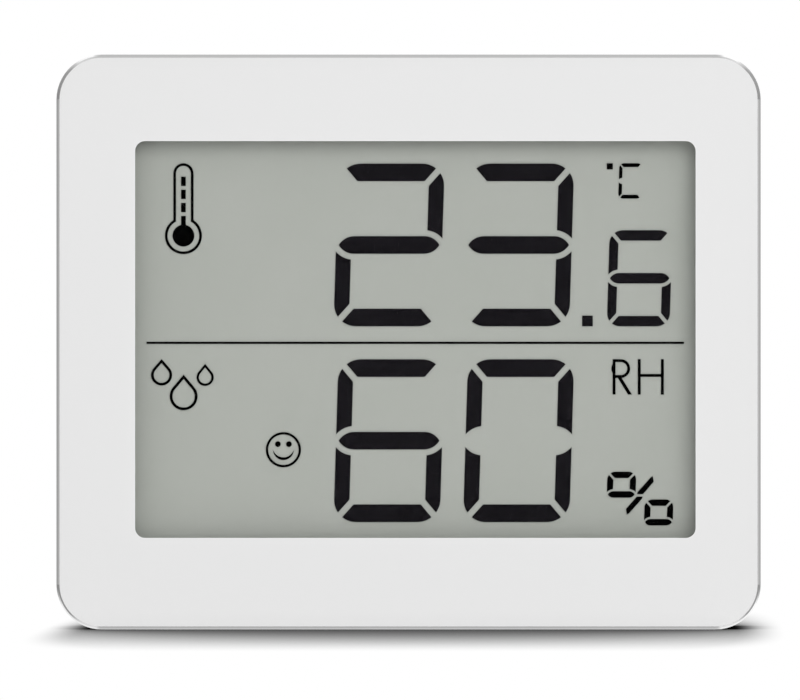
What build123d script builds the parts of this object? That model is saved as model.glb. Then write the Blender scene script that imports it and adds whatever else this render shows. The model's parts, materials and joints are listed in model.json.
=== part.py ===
from build123d import *

import os
from collections import namedtuple
from math import cos, hypot, radians, sin, sqrt

# Desk thermo-hygrometer with a liquid crystal display. Millimetres.
# X runs to the right seen from the front, the front faces -Y, and Z is up.
# The origin is the middle of the base: X and Y are centred on the case, and Z is 0 where it stands.

# Seven-bar characters of the display
DIGIT_WIDTH = 14.84
DIGIT_HEIGHT = 22.74
BAR_WIDTH = 2.13  # of the upright bars
BAR_HEIGHT = 2.46  # of the level bars
DIGIT_CORNER = 3.13
CORNER_SLIT = 0.89  # between a level and an upright bar
MIDDLE_SLIT = 0.83  # round the middle bar
MIDDLE_INSET = 0.38  # of the middle bar's tips from the sides
DIGIT_LEAN = 0.0301  # sideways for each millimetre up
SMALL_DIGIT = 0.5907  # size of the tenths digit beside a large one
UNIT_LETTER = 0.217  # size of the unit's letter beside a large digit

# Layout of the display, left to right and bottom to top
ICON_COLUMN = 27.97
DIGIT_GAP = 3.26
UNIT_COLUMN = 17.19
ROW_GAP = 2.15
TOP_GAP = 3.06
RULE_THICKNESS = 0.31  # the line between temperature and humidity
RULE_MARGIN = 1.5
WINDOW_CORNER = 1.4

# Places of the small marks: from the left of the window, from the right of the large digits,
# and from the middle of each row
THERMOMETER_X = 6.65
THERMOMETER_Z = 1.30
STEM_RADIUS = 1.41
STEM_RISE = 8.71  # from the bulb's middle to the stem's round end
BULB_RADIUS = 2.59
ICON_STROKE = 0.37
INNER_BULB_RADIUS = 1.52
INNER_STEM_WIDTH = 0.65
INNER_STEM_RISE = 2.75
DASH_LENGTH = 1.3
DASH_PITCH = 1.83
DASH_COUNT = 3
SMILEY_X = 20.62
SMILEY_Z = -1.26
SMILEY_RADIUS = 2.46
SMILEY_STROKE = 0.33
EYE_RADIUS = 0.40
EYE_SPACING = 1.55
EYE_RISE = 0.78
MOUTH_RADIUS = 1.45
MOUTH_THICKNESS = 0.38
POINT_X = 2.19
POINT_SIZE = 1.5
TENTHS_X = 9.49
DEGREE_X = 5.32
DEGREE_Z = 10.98
DEGREE_SIZE = 0.85
UNIT_LETTER_X = 8.19
UNIT_LETTER_Z = 8.95
LABEL_X = 5.71
LABEL_Z = 6.45
LABEL_HEIGHT = 4.94
LABEL_STROKE = 0.40
LABEL_BOWL_RADIUS = 1.31
LABEL_BOWL_X = 1.14
LABEL_LEG_TOP_X = 0.60
LABEL_LEG_FOOT_X = 2.70
LABEL_LEG_WIDTH = 0.54
LABEL_H_LEFT = 3.52
LABEL_H_RIGHT = 6.75
PERCENT_X = 9.51
PERCENT_Z = -7.64
PERCENT_SPREAD_X = 2.60
PERCENT_SPREAD_Z = 1.94
PERCENT_RING_WIDTH = 4.02
PERCENT_RING_HEIGHT = 6.36
PERCENT_BAR_WIDTH = 0.85
PERCENT_BAR_HEIGHT = 0.89
PERCENT_SCALE = 0.36  # of slits and corners beside a large digit
# Half of the percent sign's slanting stroke, from the sign's middle
PERCENT_STROKE = [(-0.39, 0.17), (-0.33, 0.44), (1.53, 2.53), (1.81, 2.69), (1.95, 1.90), (0.43, 0.17)]
# Drops beside the humidity: place from the window's left and the row's middle, radius, tip height, stroke
DROPS = [
    (3.60, 9.18, 1.47, 2.23, 0.375),
    (6.68, 6.20, 1.95, 3.02, 0.39),
    (9.68, 8.85, 1.20, 1.89, 0.33),
]

# Layers from front to back
PANEL_THICKNESS = 1.5
FILM_THICKNESS = 0.1
TAPE_THICKNESS = 0.2
FRAME_FACE = 1.4
POLARISER_THICKNESS = 0.2
GLASS_THICKNESS = 0.7
CRYSTAL_GAP = 0.1
REFLECTOR_THICKNESS = 0.3
CUSHION_THICKNESS = 1.4
BOARD_THICKNESS = 1.0
CELL_CONTACT_HEIGHT = 0.8
CELL_THICKNESS = 3.2
CELL_CLEARANCE = 0.9
BACK_WALL = 1.5

# Case
MARGIN_LEFT = 10.9  # from the outside to the window
MARGIN_RIGHT = 9.0
CASE_WALL = 1.8
CASE_CORNER = 6.3
PANEL_BEVEL = 0.45
FILM_INSET = 0.25
TAPE_INSET = 1.2
TAPE_WINDOW_GAP = 0.8
SEAM_CHAMFER = 0.25
FRAME_WINDOW_GAP = 0.4
BACK_FILLET = 1.5
PARTING_BEHIND_BOARD = 0.4
LIP_CLEARANCE = 0.1
LIP_THICKNESS = 0.9
LIP_HEIGHT = 1.0

# Display cell
GLASS_BORDER = 3.0  # beyond the window at the sides
GLASS_TOP_BORDER = 2.2
CONTACT_LEDGE = 4.5  # of the front glass, below the window
REAR_GLASS_BORDER = 1.5  # below the window
SEAL_WIDTH = 1.0
SHEET_INSET = 1.0  # of the polariser and reflector from the glass edges
GLASS_RIB = 0.8
GLASS_RIB_HEIGHT = 1.2
GLASS_FIT = 0.15
ZEBRA_HEIGHT = 2.4
CUSHION_WIDTH = 3.0
CUSHION_INSET = 1.5

# Board and its screws
BOARD_CLEARANCE = 0.4
BOARD_CORNER = 1.0
BOARD_SCREW_EDGE = 2.0  # screw middle from the board's long edges
BOARD_SCREW_INSET = 6.0  # and from its short edges
BOARD_BOSS_RADIUS = 2.0
GLASS_TO_BOSS_BELOW = 1.0
GLASS_TO_BOSS_ABOVE = 2.6
BOARD_SCREW_RADIUS = 0.95
BOARD_HEAD_RADIUS = 1.75
BOARD_HEAD_HEIGHT = 1.0
SCREW_FIT = 0.05
SCREW_TIP_GAP = 0.6
CROSS_EDGE = 0.65  # from a cross recess to the edge of its screw head
CROSS_WIDTH = 0.45
CROSS_DEPTH = 0.5

# Case screws
CASE_SCREW_INSET = 4.4
CASE_BOSS_RADIUS = 2.2
CASE_SCREW_RADIUS = 1.1
CASE_SCREW_HOLE_GAP = 0.2
CASE_HEAD_RADIUS = 1.8
CASE_HEAD_HEIGHT = 1.3
CASE_HEAD_GAP = 0.2
CASE_HEAD_SINK = 0.9
POST_WALL = 1.2
LIP_BOSS_GAP = 0.4

# Electronics on the back of the board
CHIP_X = -7.0
CHIP_Z = 29.0
CHIP_RADIUS = 5.0
CHIP_HEIGHT = 1.3
CHIP_ROUNDING = 1.2
COMPONENT_X = 6.0
COMPONENT_Z = 24.0
COMPONENT_GAP = 1.6  # between the ends of two components
COMPONENT_LENGTH = 2.0
COMPONENT_WIDTH = 1.25
COMPONENT_HEIGHT = 0.55
COMPONENT_COLUMNS = 2
COMPONENT_ROWS = 4
CRYSTAL_X = -19.5
CRYSTAL_Z = 17.0
CRYSTAL_RADIUS = 1.0
CRYSTAL_LENGTH = 6.0
LEAD_RADIUS = 0.2
SENSOR_Z = 24.0
SENSOR_CAP_WIDTH = 9.0
SENSOR_CAP_LENGTH = 12.0
SENSOR_CAP_HEIGHT = 2.8
SENSOR_CAP_WALL = 0.7
SENSOR_SLOT_COUNT = 4
SENSOR_SLOT_PITCH = 2.3
SENSOR_SLOT_WIDTH = 1.1
SENSOR_WIDTH = 5.0
SENSOR_LENGTH = 8.0
SENSOR_THICKNESS = 0.6
THERMISTOR_RADIUS = 0.8
THERMISTOR_DROP = 11.0
THERMISTOR_LIFT = 1.7
THERMISTOR_LEAD_SPACING = 0.8

# Coin cell, its holder and contacts
CELL_RADIUS = 10.0
CELL_TO_SCREW = 1.2  # from the door's runner to the sunk screw head
CELL_BELOW_TOP = 8.0  # the cell's edge from the top of the case
CELL_RIM_STEP = 1.2  # from the cell's side to its raised face
CELL_RIM_HEIGHT = 0.6
CELL_EDGE = 0.3
HOLDER_CLEARANCE = 0.2
HOLDER_WALL = 1.0
HOLDER_RAIL_GAP = 0.3
CONTACT_SHEET = 0.25
CONTACT_WIDTH = 5.0
CONTACT_FOOT = 3.2
CONTACT_CLEARANCE = 0.1
CONTACT_GAP = 0.7
NEGATIVE_REACH = 6.0
NEGATIVE_ARCH = 5.0

# Battery door, and the rails and well that it slides in
DOOR_BEYOND_CELL = 0.8  # at each side
DOOR_BELOW_CELL = 4.0
DOOR_CLEARANCE = 0.1
DOOR_SIDE_CLEARANCE = 0.15
DOOR_RUNNER_PROUD = 1.1
DOOR_RUNNER_GAP = 0.2  # from the cell's side
DOOR_RUNNER_THICKNESS = 1.0
DOOR_TAB_WIDTH = 12.0
DOOR_TAB_REACH = 1.5
DOOR_TOP_LIP = 1.8
RAIL_THICKNESS = 1.0
RAIL_WALL = 0.9  # beside the grooves and below the tab's pocket
RAIL_COVER = 0.2  # the well is wider than the cell by this at each side
THUMB_WIDTH = 12.0
THUMB_HEIGHT = 7.0
THUMB_DEPTH = 0.5
THUMB_ABOVE_EDGE = 8.0
THUMB_RIB_COUNT = 4
THUMB_RIB_WIDTH = 0.8
THUMB_RIB_PITCH = 1.6
ARROW_WIDTH = 5.0
ARROW_HEIGHT = 3.5
ARROW_RISE = 8.0
ARROW_DEPTH = 0.3

# Folding stand
STAND_THICKNESS = 2.8
STAND_TOP_WIDTH = 30.0
STAND_TIP_WIDTH = 22.0
STAND_BELOW_DOOR = 3.5
STAND_TIP_Z = 1.2
STAND_TIP_CORNER = 3.0
STAND_HEEL = 1.1
STAND_HEEL_FILLET = 1.2
STAND_SIDE_GAP = 0.4
STAND_FLOOR_GAP = 0.2
STAND_STOP_GAP = 0.04
STAND_OPEN_DEGREES = 32.0
STAND_NOTCH_RADIUS = 6.0
STAND_NOTCH_DEPTH = 1.8
STAND_PANEL_BORDER = 3.5
STAND_PANEL_DEPTH = 0.4
PIN_RADIUS = 0.9
PIN_FIT = 0.08
PIN_REACH = 1.2
PIN_END_GAP = 0.1
PAN_WALL = 1.4
PAN_FLOOR = 1.2

# Keyhole for a wall hook
KEYHOLE_FROM_TOP = 11.0
KEYHOLE_DROP = 7.0
KEYHOLE_ENTRY_RADIUS = 4.0
KEYHOLE_SLOT_RADIUS = 2.1
KEYHOLE_POCKET_DEPTH = 2.5
KEYHOLE_POCKET_GAP = 1.0
KEYHOLE_WALL = 1.2

# Buttons and their switches
BUTTON_FROM_SIDE = 19.0
BUTTON_FROM_TOP = 20.0
BUTTON_PITCH = 12.0
BUTTON_RADIUS = 3.0
BUTTON_GAP = 0.15
BUTTON_FLANGE = 1.0
BUTTON_FLANGE_THICKNESS = 0.8
BUTTON_FLANGE_GAP = 0.1
BUTTON_SINK = 0.2
BUTTON_EDGE = 0.5
BUTTON_DISH_RADIUS = 4.4
BUTTON_DISH_DEPTH = 0.4
SWITCH_WIDTH = 6.0
SWITCH_TO_FLANGE = 0.9
PLUNGER_RADIUS = 1.75
PLUNGER_GAP = 0.1
PLUNGER_SOCKET = 0.8
PLUNGER_SEAT = 0.25

# Air slots over the sensor
VENT_COUNT = 5
VENT_LENGTH = 14.0
VENT_WIDTH = 1.4
VENT_PITCH = 2.8

# Layers worked out from front to back
DEPTH = (
    PANEL_THICKNESS
    + FILM_THICKNESS
    + TAPE_THICKNESS
    + FRAME_FACE
    + POLARISER_THICKNESS
    + 2 * GLASS_THICKNESS
    + CRYSTAL_GAP
    + REFLECTOR_THICKNESS
    + CUSHION_THICKNESS
    + BOARD_THICKNESS
    + CELL_CONTACT_HEIGHT
    + CELL_THICKNESS
    + CELL_CLEARANCE
    + BACK_WALL
)
FRONT_Y = -DEPTH / 2
BACK_Y = DEPTH / 2
PANEL_BACK = FRONT_Y + PANEL_THICKNESS
FILM_BACK = PANEL_BACK + FILM_THICKNESS
TAPE_BACK = FILM_BACK + TAPE_THICKNESS
FACE_BACK = TAPE_BACK + FRAME_FACE
POLARISER_BACK = FACE_BACK + POLARISER_THICKNESS
FRONT_GLASS_BACK = POLARISER_BACK + GLASS_THICKNESS
CRYSTAL_BACK = FRONT_GLASS_BACK + CRYSTAL_GAP
REAR_GLASS_BACK = CRYSTAL_BACK + GLASS_THICKNESS
REFLECTOR_BACK = REAR_GLASS_BACK + REFLECTOR_THICKNESS
BOARD_FRONT = REFLECTOR_BACK + CUSHION_THICKNESS
BOARD_BACK = BOARD_FRONT + BOARD_THICKNESS
CELL_FRONT = BOARD_BACK + CELL_CONTACT_HEIGHT
CELL_BACK = CELL_FRONT + CELL_THICKNESS
WALL_INNER = BACK_Y - BACK_WALL
PARTING_Y = BOARD_BACK + PARTING_BEHIND_BOARD

# The window is as large as its digits, symbols and gaps, and the case goes round it
WINDOW_WIDTH = ICON_COLUMN + 2 * DIGIT_WIDTH + DIGIT_GAP + UNIT_COLUMN
WINDOW_HEIGHT = TOP_GAP + 2 * DIGIT_HEIGHT + 3 * ROW_GAP + RULE_THICKNESS
COVER_WALL = CASE_WALL + LIP_CLEARANCE + LIP_THICKNESS
BOARD_INSET = COVER_WALL + BOARD_CLEARANCE
BOARD_SCREW_Z = BOARD_INSET + BOARD_SCREW_EDGE
MARGIN_BOTTOM = BOARD_SCREW_Z + BOARD_BOSS_RADIUS + GLASS_TO_BOSS_BELOW + CONTACT_LEDGE
MARGIN_TOP = BOARD_SCREW_Z + BOARD_BOSS_RADIUS + GLASS_TO_BOSS_ABOVE + GLASS_TOP_BORDER
WIDTH = MARGIN_LEFT + WINDOW_WIDTH + MARGIN_RIGHT
HEIGHT = MARGIN_BOTTOM + WINDOW_HEIGHT + MARGIN_TOP
CASE_MIDDLE = (0, HEIGHT / 2)

WINDOW_LEFT = -WIDTH / 2 + MARGIN_LEFT
WINDOW_RIGHT = WINDOW_LEFT + WINDOW_WIDTH
WINDOW_BOTTOM = MARGIN_BOTTOM
WINDOW_TOP = WINDOW_BOTTOM + WINDOW_HEIGHT
WINDOW_MIDDLE = ((WINDOW_LEFT + WINDOW_RIGHT) / 2, (WINDOW_BOTTOM + WINDOW_TOP) / 2)
FIRST_COLUMN = WINDOW_LEFT + ICON_COLUMN + DIGIT_WIDTH / 2
SECOND_COLUMN = FIRST_COLUMN + DIGIT_WIDTH + DIGIT_GAP
DIGITS_RIGHT = SECOND_COLUMN + DIGIT_WIDTH / 2
HUMIDITY_ROW = WINDOW_BOTTOM + ROW_GAP + DIGIT_HEIGHT / 2
RULE_Z = HUMIDITY_ROW + DIGIT_HEIGHT / 2 + ROW_GAP + RULE_THICKNESS / 2
TEMPERATURE_ROW = RULE_Z + RULE_THICKNESS / 2 + ROW_GAP + DIGIT_HEIGHT / 2

GLASS_LEFT = WINDOW_LEFT - GLASS_BORDER
GLASS_RIGHT = WINDOW_RIGHT + GLASS_BORDER
GLASS_TOP = WINDOW_TOP + GLASS_TOP_BORDER
FRONT_GLASS_BOTTOM = WINDOW_BOTTOM - CONTACT_LEDGE
REAR_GLASS_BOTTOM = WINDOW_BOTTOM - REAR_GLASS_BORDER

CASE_SCREW_X = WIDTH / 2 - CASE_SCREW_INSET
CASE_SCREW_Z_RANGE = (CASE_SCREW_INSET, HEIGHT - CASE_SCREW_INSET)
CASE_SCREWS = [(x, z) for x in (-CASE_SCREW_X, CASE_SCREW_X) for z in CASE_SCREW_Z_RANGE]
HEAD_HOLE_RADIUS = CASE_HEAD_RADIUS + CASE_HEAD_GAP
CASE_HEAD_FRONT = BACK_Y - CASE_HEAD_SINK - CASE_HEAD_HEIGHT
BOARD_HALF_WIDTH = CASE_SCREW_X - CASE_BOSS_RADIUS - BOARD_CLEARANCE
BOARD_SCREW_X = BOARD_HALF_WIDTH - BOARD_SCREW_INSET
BOARD_SCREW_Z_RANGE = (BOARD_SCREW_Z, HEIGHT - BOARD_SCREW_Z)
BOARD_SCREWS = [(x, z) for x in (-BOARD_SCREW_X, BOARD_SCREW_X) for z in BOARD_SCREW_Z_RANGE]

DOOR_WIDTH = 2 * (CELL_RADIUS + DOOR_BEYOND_CELL)
RUNNER_INNER = CELL_RADIUS + DOOR_RUNNER_GAP
RUNNER_HALF_WIDTH = DOOR_WIDTH / 2 + DOOR_RUNNER_PROUD
CELL_MIDDLE = (
    CASE_SCREW_X - HEAD_HOLE_RADIUS - CELL_TO_SCREW - RUNNER_HALF_WIDTH,
    HEIGHT - CELL_BELOW_TOP - CELL_RADIUS,
)
DOOR_BOTTOM = CELL_MIDDLE[1] - CELL_RADIUS - DOOR_BELOW_CELL
WELL_HALF_WIDTH = CELL_RADIUS + HOLDER_CLEARANCE + RAIL_COVER
WELL_BOTTOM = DOOR_BOTTOM + DOOR_TAB_REACH
RUNNER_BACK = WALL_INNER - DOOR_CLEARANCE
RUNNER_FRONT = RUNNER_BACK - DOOR_RUNNER_THICKNESS
GROOVE_FRONT = RUNNER_FRONT - DOOR_CLEARANCE
RAIL_FRONT = GROOVE_FRONT - RAIL_THICKNESS
HOLDER_BACK = RAIL_FRONT - HOLDER_RAIL_GAP

STAND_PIVOT_Z = DOOR_BOTTOM - STAND_BELOW_DOOR
STAND_AXIS_Y = BACK_Y - STAND_THICKNESS / 2
STAND_FRONT = BACK_Y - STAND_THICKNESS
RECESS_FLOOR = STAND_FRONT - STAND_FLOOR_GAP
OPEN_ANGLE = radians(STAND_OPEN_DEGREES)
STAND_STOP = STAND_HEEL * cos(OPEN_ANGLE) + STAND_THICKNESS / 2 * sin(OPEN_ANGLE)
RECESS_TOP = STAND_PIVOT_Z + STAND_STOP + STAND_STOP_GAP

KEYHOLE_TOP = HEIGHT - KEYHOLE_FROM_TOP
KEYHOLE_ENTRY_Z = KEYHOLE_TOP - KEYHOLE_DROP

BUTTON_X = -WIDTH / 2 + BUTTON_FROM_SIDE
BUTTON_SPOTS = {
    "unit": (BUTTON_X, HEIGHT - BUTTON_FROM_TOP),
    "memory": (BUTTON_X, HEIGHT - BUTTON_FROM_TOP - BUTTON_PITCH),
}
FLANGE_BACK = WALL_INNER - BUTTON_FLANGE_GAP
FLANGE_FRONT = FLANGE_BACK - BUTTON_FLANGE_THICKNESS
SWITCH_BACK = FLANGE_FRONT - SWITCH_TO_FLANGE
SENSOR_X = BUTTON_X

Digit = namedtuple("Digit", "width height bar_width bar_height corner slit middle_slit inset")
LARGE_DIGIT = Digit(
    DIGIT_WIDTH,
    DIGIT_HEIGHT,
    BAR_WIDTH,
    BAR_HEIGHT,
    DIGIT_CORNER,
    CORNER_SLIT,
    MIDDLE_SLIT,
    MIDDLE_INSET,
)
PERCENT_RING = Digit(
    PERCENT_RING_WIDTH,
    PERCENT_RING_HEIGHT,
    PERCENT_BAR_WIDTH,
    PERCENT_BAR_HEIGHT,
    PERCENT_SCALE * DIGIT_CORNER,
    PERCENT_SCALE * CORNER_SLIT,
    PERCENT_SCALE * MIDDLE_SLIT,
    PERCENT_SCALE * MIDDLE_INSET,
)

# Bars that are dark: a top, b upper right, c lower right, d bottom, e lower left, f upper left, g middle
BARS = {"0": "abcdef", "2": "abged", "3": "abgcd", "6": "acdefg", "C": "adef", "percent ring": "abfg"}
MIRROR = {"a": (1, 1), "d": (1, -1), "b": (1, 1), "f": (-1, 1), "c": (1, -1), "e": (-1, -1)}


def facing(y):
    """The plane at depth y that faces the front, with X to the right and Z up."""
    return Plane.XZ.offset(-y)


def scaled(digit, factor):
    return Digit(*(factor * value for value in digit))


def leaning(middle, mirror=(1, 1)):
    """A function that places a point of an upright character in the leaning one."""

    def place(x, z):
        return (
            middle[0] + mirror[0] * x + DIGIT_LEAN * mirror[1] * z,
            middle[1] + mirror[1] * z,
        )

    return place


def corner_cut(digit, side):
    """Where the slit's edge meets the rounded corner, on the level bar's side (1) or the upright's (-1)."""
    diagonal = hypot(digit.bar_width, digit.bar_height)
    along = (-digit.bar_width / diagonal, -digit.bar_height / diagonal)
    shift = side * digit.slit / 2
    start = (
        digit.corner - shift * digit.bar_height / diagonal,
        digit.corner + shift * digit.bar_width / diagonal,
    )
    reach = start[0] * along[0] + start[1] * along[1]
    travel = -reach - sqrt(reach**2 - start[0] ** 2 - start[1] ** 2 + digit.corner**2)
    arc_middle = (digit.width / 2 - digit.corner, digit.height / 2 - digit.corner)
    offset = (start[0] + travel * along[0], start[1] + travel * along[1])
    return arc_middle, offset


def halfway_on_corner(digit, arc_middle, offset, tangent):
    """The middle of the corner's arc between the slit and the straight edge."""
    total = (offset[0] + tangent[0], offset[1] + tangent[1])
    length = hypot(*total)
    return (
        arc_middle[0] + digit.corner * total[0] / length,
        arc_middle[1] + digit.corner * total[1] / length,
    )


def level_bar(digit, place):
    """The top or bottom bar of a character."""
    arc_middle, offset = corner_cut(digit, 1)
    tip = (arc_middle[0] + offset[0], arc_middle[1] + offset[1])
    bend = halfway_on_corner(digit, arc_middle, offset, (0, digit.corner))
    diagonal = hypot(digit.bar_width, digit.bar_height)
    inner_x = digit.width / 2 - digit.bar_width - digit.slit / 2 * diagonal / digit.bar_height
    inner_z = digit.height / 2 - digit.bar_height
    outer_x = arc_middle[0]
    outer_z = digit.height / 2
    with BuildSketch(facing(CRYSTAL_BACK)) as face:
        with BuildLine():
            Line(place(-inner_x, inner_z), place(inner_x, inner_z))
            Line(place(inner_x, inner_z), place(*tip))
            ThreePointArc(place(*tip), place(*bend), place(outer_x, outer_z))
            Line(place(outer_x, outer_z), place(-outer_x, outer_z))
            ThreePointArc(place(-outer_x, outer_z), place(-bend[0], bend[1]), place(-tip[0], tip[1]))
            Line(place(-tip[0], tip[1]), place(-inner_x, inner_z))
        make_face()
    return face.sketch


def upright_bar(digit, place):
    """One of the four side bars, cut by the slit round the middle bar."""
    arc_middle, offset = corner_cut(digit, -1)
    tip = (arc_middle[0] + offset[0], arc_middle[1] + offset[1])
    bend = halfway_on_corner(digit, arc_middle, offset, (digit.corner, 0))
    diagonal = hypot(digit.bar_width, digit.bar_height)
    inner_x = digit.width / 2 - digit.bar_width
    inner_z = digit.height / 2 - digit.bar_height - digit.slit / 2 * diagonal / digit.bar_width
    outer_x = digit.width / 2
    arc_x = outer_x - digit.inset - sqrt(0.75) * digit.bar_height
    arc_radius = digit.bar_height + digit.middle_slit

    def foot(x):
        beyond = max(0, x - arc_x)
        return (x, sqrt(arc_radius**2 - beyond**2) - digit.bar_height / 2)

    with BuildSketch(facing(CRYSTAL_BACK)) as face:
        with BuildLine():
            Line(place(*foot(inner_x)), place(inner_x, inner_z))
            Line(place(inner_x, inner_z), place(*tip))
            ThreePointArc(place(*tip), place(*bend), place(outer_x, arc_middle[1]))
            Line(place(outer_x, arc_middle[1]), place(*foot(outer_x)))
            ThreePointArc(
                place(*foot(outer_x)),
                place(*foot((inner_x + outer_x) / 2)),
                place(*foot(inner_x)),
            )
        make_face()
    return face.sketch


def middle_bar(digit, place):
    """The middle bar, whose pointed ends are two arcs as large as its height."""
    half = digit.bar_height / 2
    arc_x = digit.width / 2 - digit.inset - sqrt(0.75) * digit.bar_height
    tip_x = digit.width / 2 - digit.inset
    bend_x = arc_x + digit.bar_height / 2
    bend_z = (sqrt(0.75) - 0.5) * digit.bar_height
    with BuildSketch(facing(CRYSTAL_BACK)) as face:
        with BuildLine():
            Line(place(-arc_x, half), place(arc_x, half))
            ThreePointArc(place(arc_x, half), place(bend_x, bend_z), place(tip_x, 0))
            ThreePointArc(place(tip_x, 0), place(bend_x, -bend_z), place(arc_x, -half))
            Line(place(arc_x, -half), place(-arc_x, -half))
            ThreePointArc(place(-arc_x, -half), place(-bend_x, -bend_z), place(-tip_x, 0))
            ThreePointArc(place(-tip_x, 0), place(-bend_x, bend_z), place(-arc_x, half))
        make_face()
    return face.sketch


def character(name, digit, middle):
    """The dark bars of a character, as faces."""
    faces = []
    for bar in BARS[name]:
        if bar == "g":
            faces.append(middle_bar(digit, leaning(middle)))
        elif bar in "ad":
            faces.append(level_bar(digit, leaning(middle, MIRROR[bar])))
        else:
            faces.append(upright_bar(digit, leaning(middle, MIRROR[bar])))
    return faces


def square(middle, size):
    with BuildSketch(facing(CRYSTAL_BACK)) as face:
        with Locations(middle):
            Rectangle(size, size)
    return face.sketch


def thermometer_symbol(middle):
    """The outline of a thermometer, with its bulb and three marks of the column."""
    bulb = (middle[0], middle[1])
    stem_top = (middle[0], middle[1] + STEM_RISE)
    stem_middle = (middle[0], middle[1] + STEM_RISE / 2)
    with BuildSketch(facing(CRYSTAL_BACK)) as face:
        with Locations(bulb):
            Circle(BULB_RADIUS)
        with Locations(stem_top):
            Circle(STEM_RADIUS)
        with Locations(stem_middle):
            Rectangle(2 * STEM_RADIUS, STEM_RISE)
        with Locations(bulb):
            Circle(BULB_RADIUS - ICON_STROKE, mode=Mode.SUBTRACT)
        with Locations(stem_top):
            Circle(STEM_RADIUS - ICON_STROKE, mode=Mode.SUBTRACT)
        with Locations(stem_middle):
            Rectangle(2 * (STEM_RADIUS - ICON_STROKE), STEM_RISE, mode=Mode.SUBTRACT)
        with Locations(bulb):
            Circle(INNER_BULB_RADIUS)
        with Locations((bulb[0], bulb[1] + INNER_STEM_RISE / 2)):
            Rectangle(INNER_STEM_WIDTH, INNER_STEM_RISE)
        for number in range(DASH_COUNT):
            rise = INNER_STEM_RISE + DASH_PITCH * number + DASH_PITCH - DASH_LENGTH / 2
            with Locations((bulb[0], bulb[1] + rise)):
                Rectangle(INNER_STEM_WIDTH, DASH_LENGTH)
    return face.sketch


def drop_symbol(middle, radius, tip_rise, stroke):
    """The outline of a drop: a circle with two tangents that meet in a tip."""
    slope = radius / tip_rise
    with BuildSketch(facing(CRYSTAL_BACK)) as face:
        for size, mode in ((radius, Mode.ADD), (radius - stroke, Mode.SUBTRACT)):
            touch_x = size * sqrt(1 - slope**2)
            touch_z = size * slope
            with BuildLine():
                Polyline(
                    (middle[0], middle[1] + size / slope),
                    (middle[0] + touch_x, middle[1] + touch_z),
                    (middle[0] - touch_x, middle[1] + touch_z),
                    close=True,
                )
            make_face(mode=mode)
            with Locations(middle):
                Circle(size, mode=mode)
    return face.sketch


def smiley_symbol(middle):
    """The common pictogram for comfortable air: a ring, two eyes and a mouth."""
    with BuildSketch(facing(CRYSTAL_BACK)) as face:
        with Locations(middle):
            Circle(SMILEY_RADIUS)
            Circle(SMILEY_RADIUS - SMILEY_STROKE, mode=Mode.SUBTRACT)
        for side in (-1, 1):
            with Locations((middle[0] + side * EYE_SPACING / 2, middle[1] + EYE_RISE)):
                Circle(EYE_RADIUS)
        with BuildLine():
            outer = ThreePointArc(
                (middle[0] - MOUTH_RADIUS, middle[1]),
                (middle[0], middle[1] - MOUTH_RADIUS),
                (middle[0] + MOUTH_RADIUS, middle[1]),
            )
            ThreePointArc(
                outer @ 1,
                (middle[0], middle[1] - MOUTH_RADIUS + MOUTH_THICKNESS),
                outer @ 0,
            )
        make_face()
    return face.sketch


def humidity_label(corner):
    """The letters RH in thin strokes. corner is their lower left."""
    bowl_x = corner[0] + LABEL_BOWL_X
    bowl_z = corner[1] + LABEL_HEIGHT - LABEL_BOWL_RADIUS
    bowl_spot = ((corner[0] + bowl_x) / 2, bowl_z)
    leg_top = bowl_z - LABEL_BOWL_RADIUS + LABEL_STROKE / 2
    leg_foot = corner[0] + LABEL_LEG_FOOT_X
    h_left = corner[0] + LABEL_H_LEFT
    h_right = corner[0] + LABEL_H_RIGHT
    stem_z = corner[1] + LABEL_HEIGHT / 2
    with BuildSketch(facing(CRYSTAL_BACK)) as face:
        with Locations((bowl_x, bowl_z)):
            Circle(LABEL_BOWL_RADIUS)
        with Locations(bowl_spot):
            Rectangle(LABEL_BOWL_X, 2 * LABEL_BOWL_RADIUS)
        with Locations((bowl_x, bowl_z)):
            Circle(LABEL_BOWL_RADIUS - LABEL_STROKE, mode=Mode.SUBTRACT)
        with Locations(bowl_spot):
            Rectangle(LABEL_BOWL_X, 2 * (LABEL_BOWL_RADIUS - LABEL_STROKE), mode=Mode.SUBTRACT)
        for left in (corner[0], h_left, h_right):
            with Locations((left + LABEL_STROKE / 2, stem_z)):
                Rectangle(LABEL_STROKE, LABEL_HEIGHT)
        with BuildLine():
            Polyline(
                (corner[0] + LABEL_LEG_TOP_X, leg_top),
                (corner[0] + LABEL_LEG_TOP_X + LABEL_LEG_WIDTH, leg_top),
                (leg_foot, corner[1]),
                (leg_foot - LABEL_LEG_WIDTH, corner[1]),
                close=True,
            )
        make_face()
        with Locations(((h_left + h_right + LABEL_STROKE) / 2, stem_z + LABEL_STROKE / 2)):
            Rectangle(h_right - h_left, LABEL_STROKE)
    return face.sketch


def percent_slash(middle, turn):
    """Half of the percent sign's stroke. turn is 1 for the upper half and -1 for the lower."""
    with BuildSketch(facing(CRYSTAL_BACK)) as face:
        with BuildLine():
            Polyline(
                *((middle[0] + turn * x, middle[1] + turn * z) for x, z in PERCENT_STROKE),
                close=True,
            )
        make_face()
    return face.sketch


# Clear front plate, bevelled all round its front edge
with BuildPart() as front_panel:
    with BuildSketch(facing(PANEL_BACK)):
        with Locations(CASE_MIDDLE):
            RectangleRounded(WIDTH, HEIGHT, CASE_CORNER)
    extrude(amount=PANEL_THICKNESS)
    chamfer(front_panel.faces().sort_by(Axis.Y)[0].edges(), PANEL_BEVEL)
front_panel.part.label = "front_panel"

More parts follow.
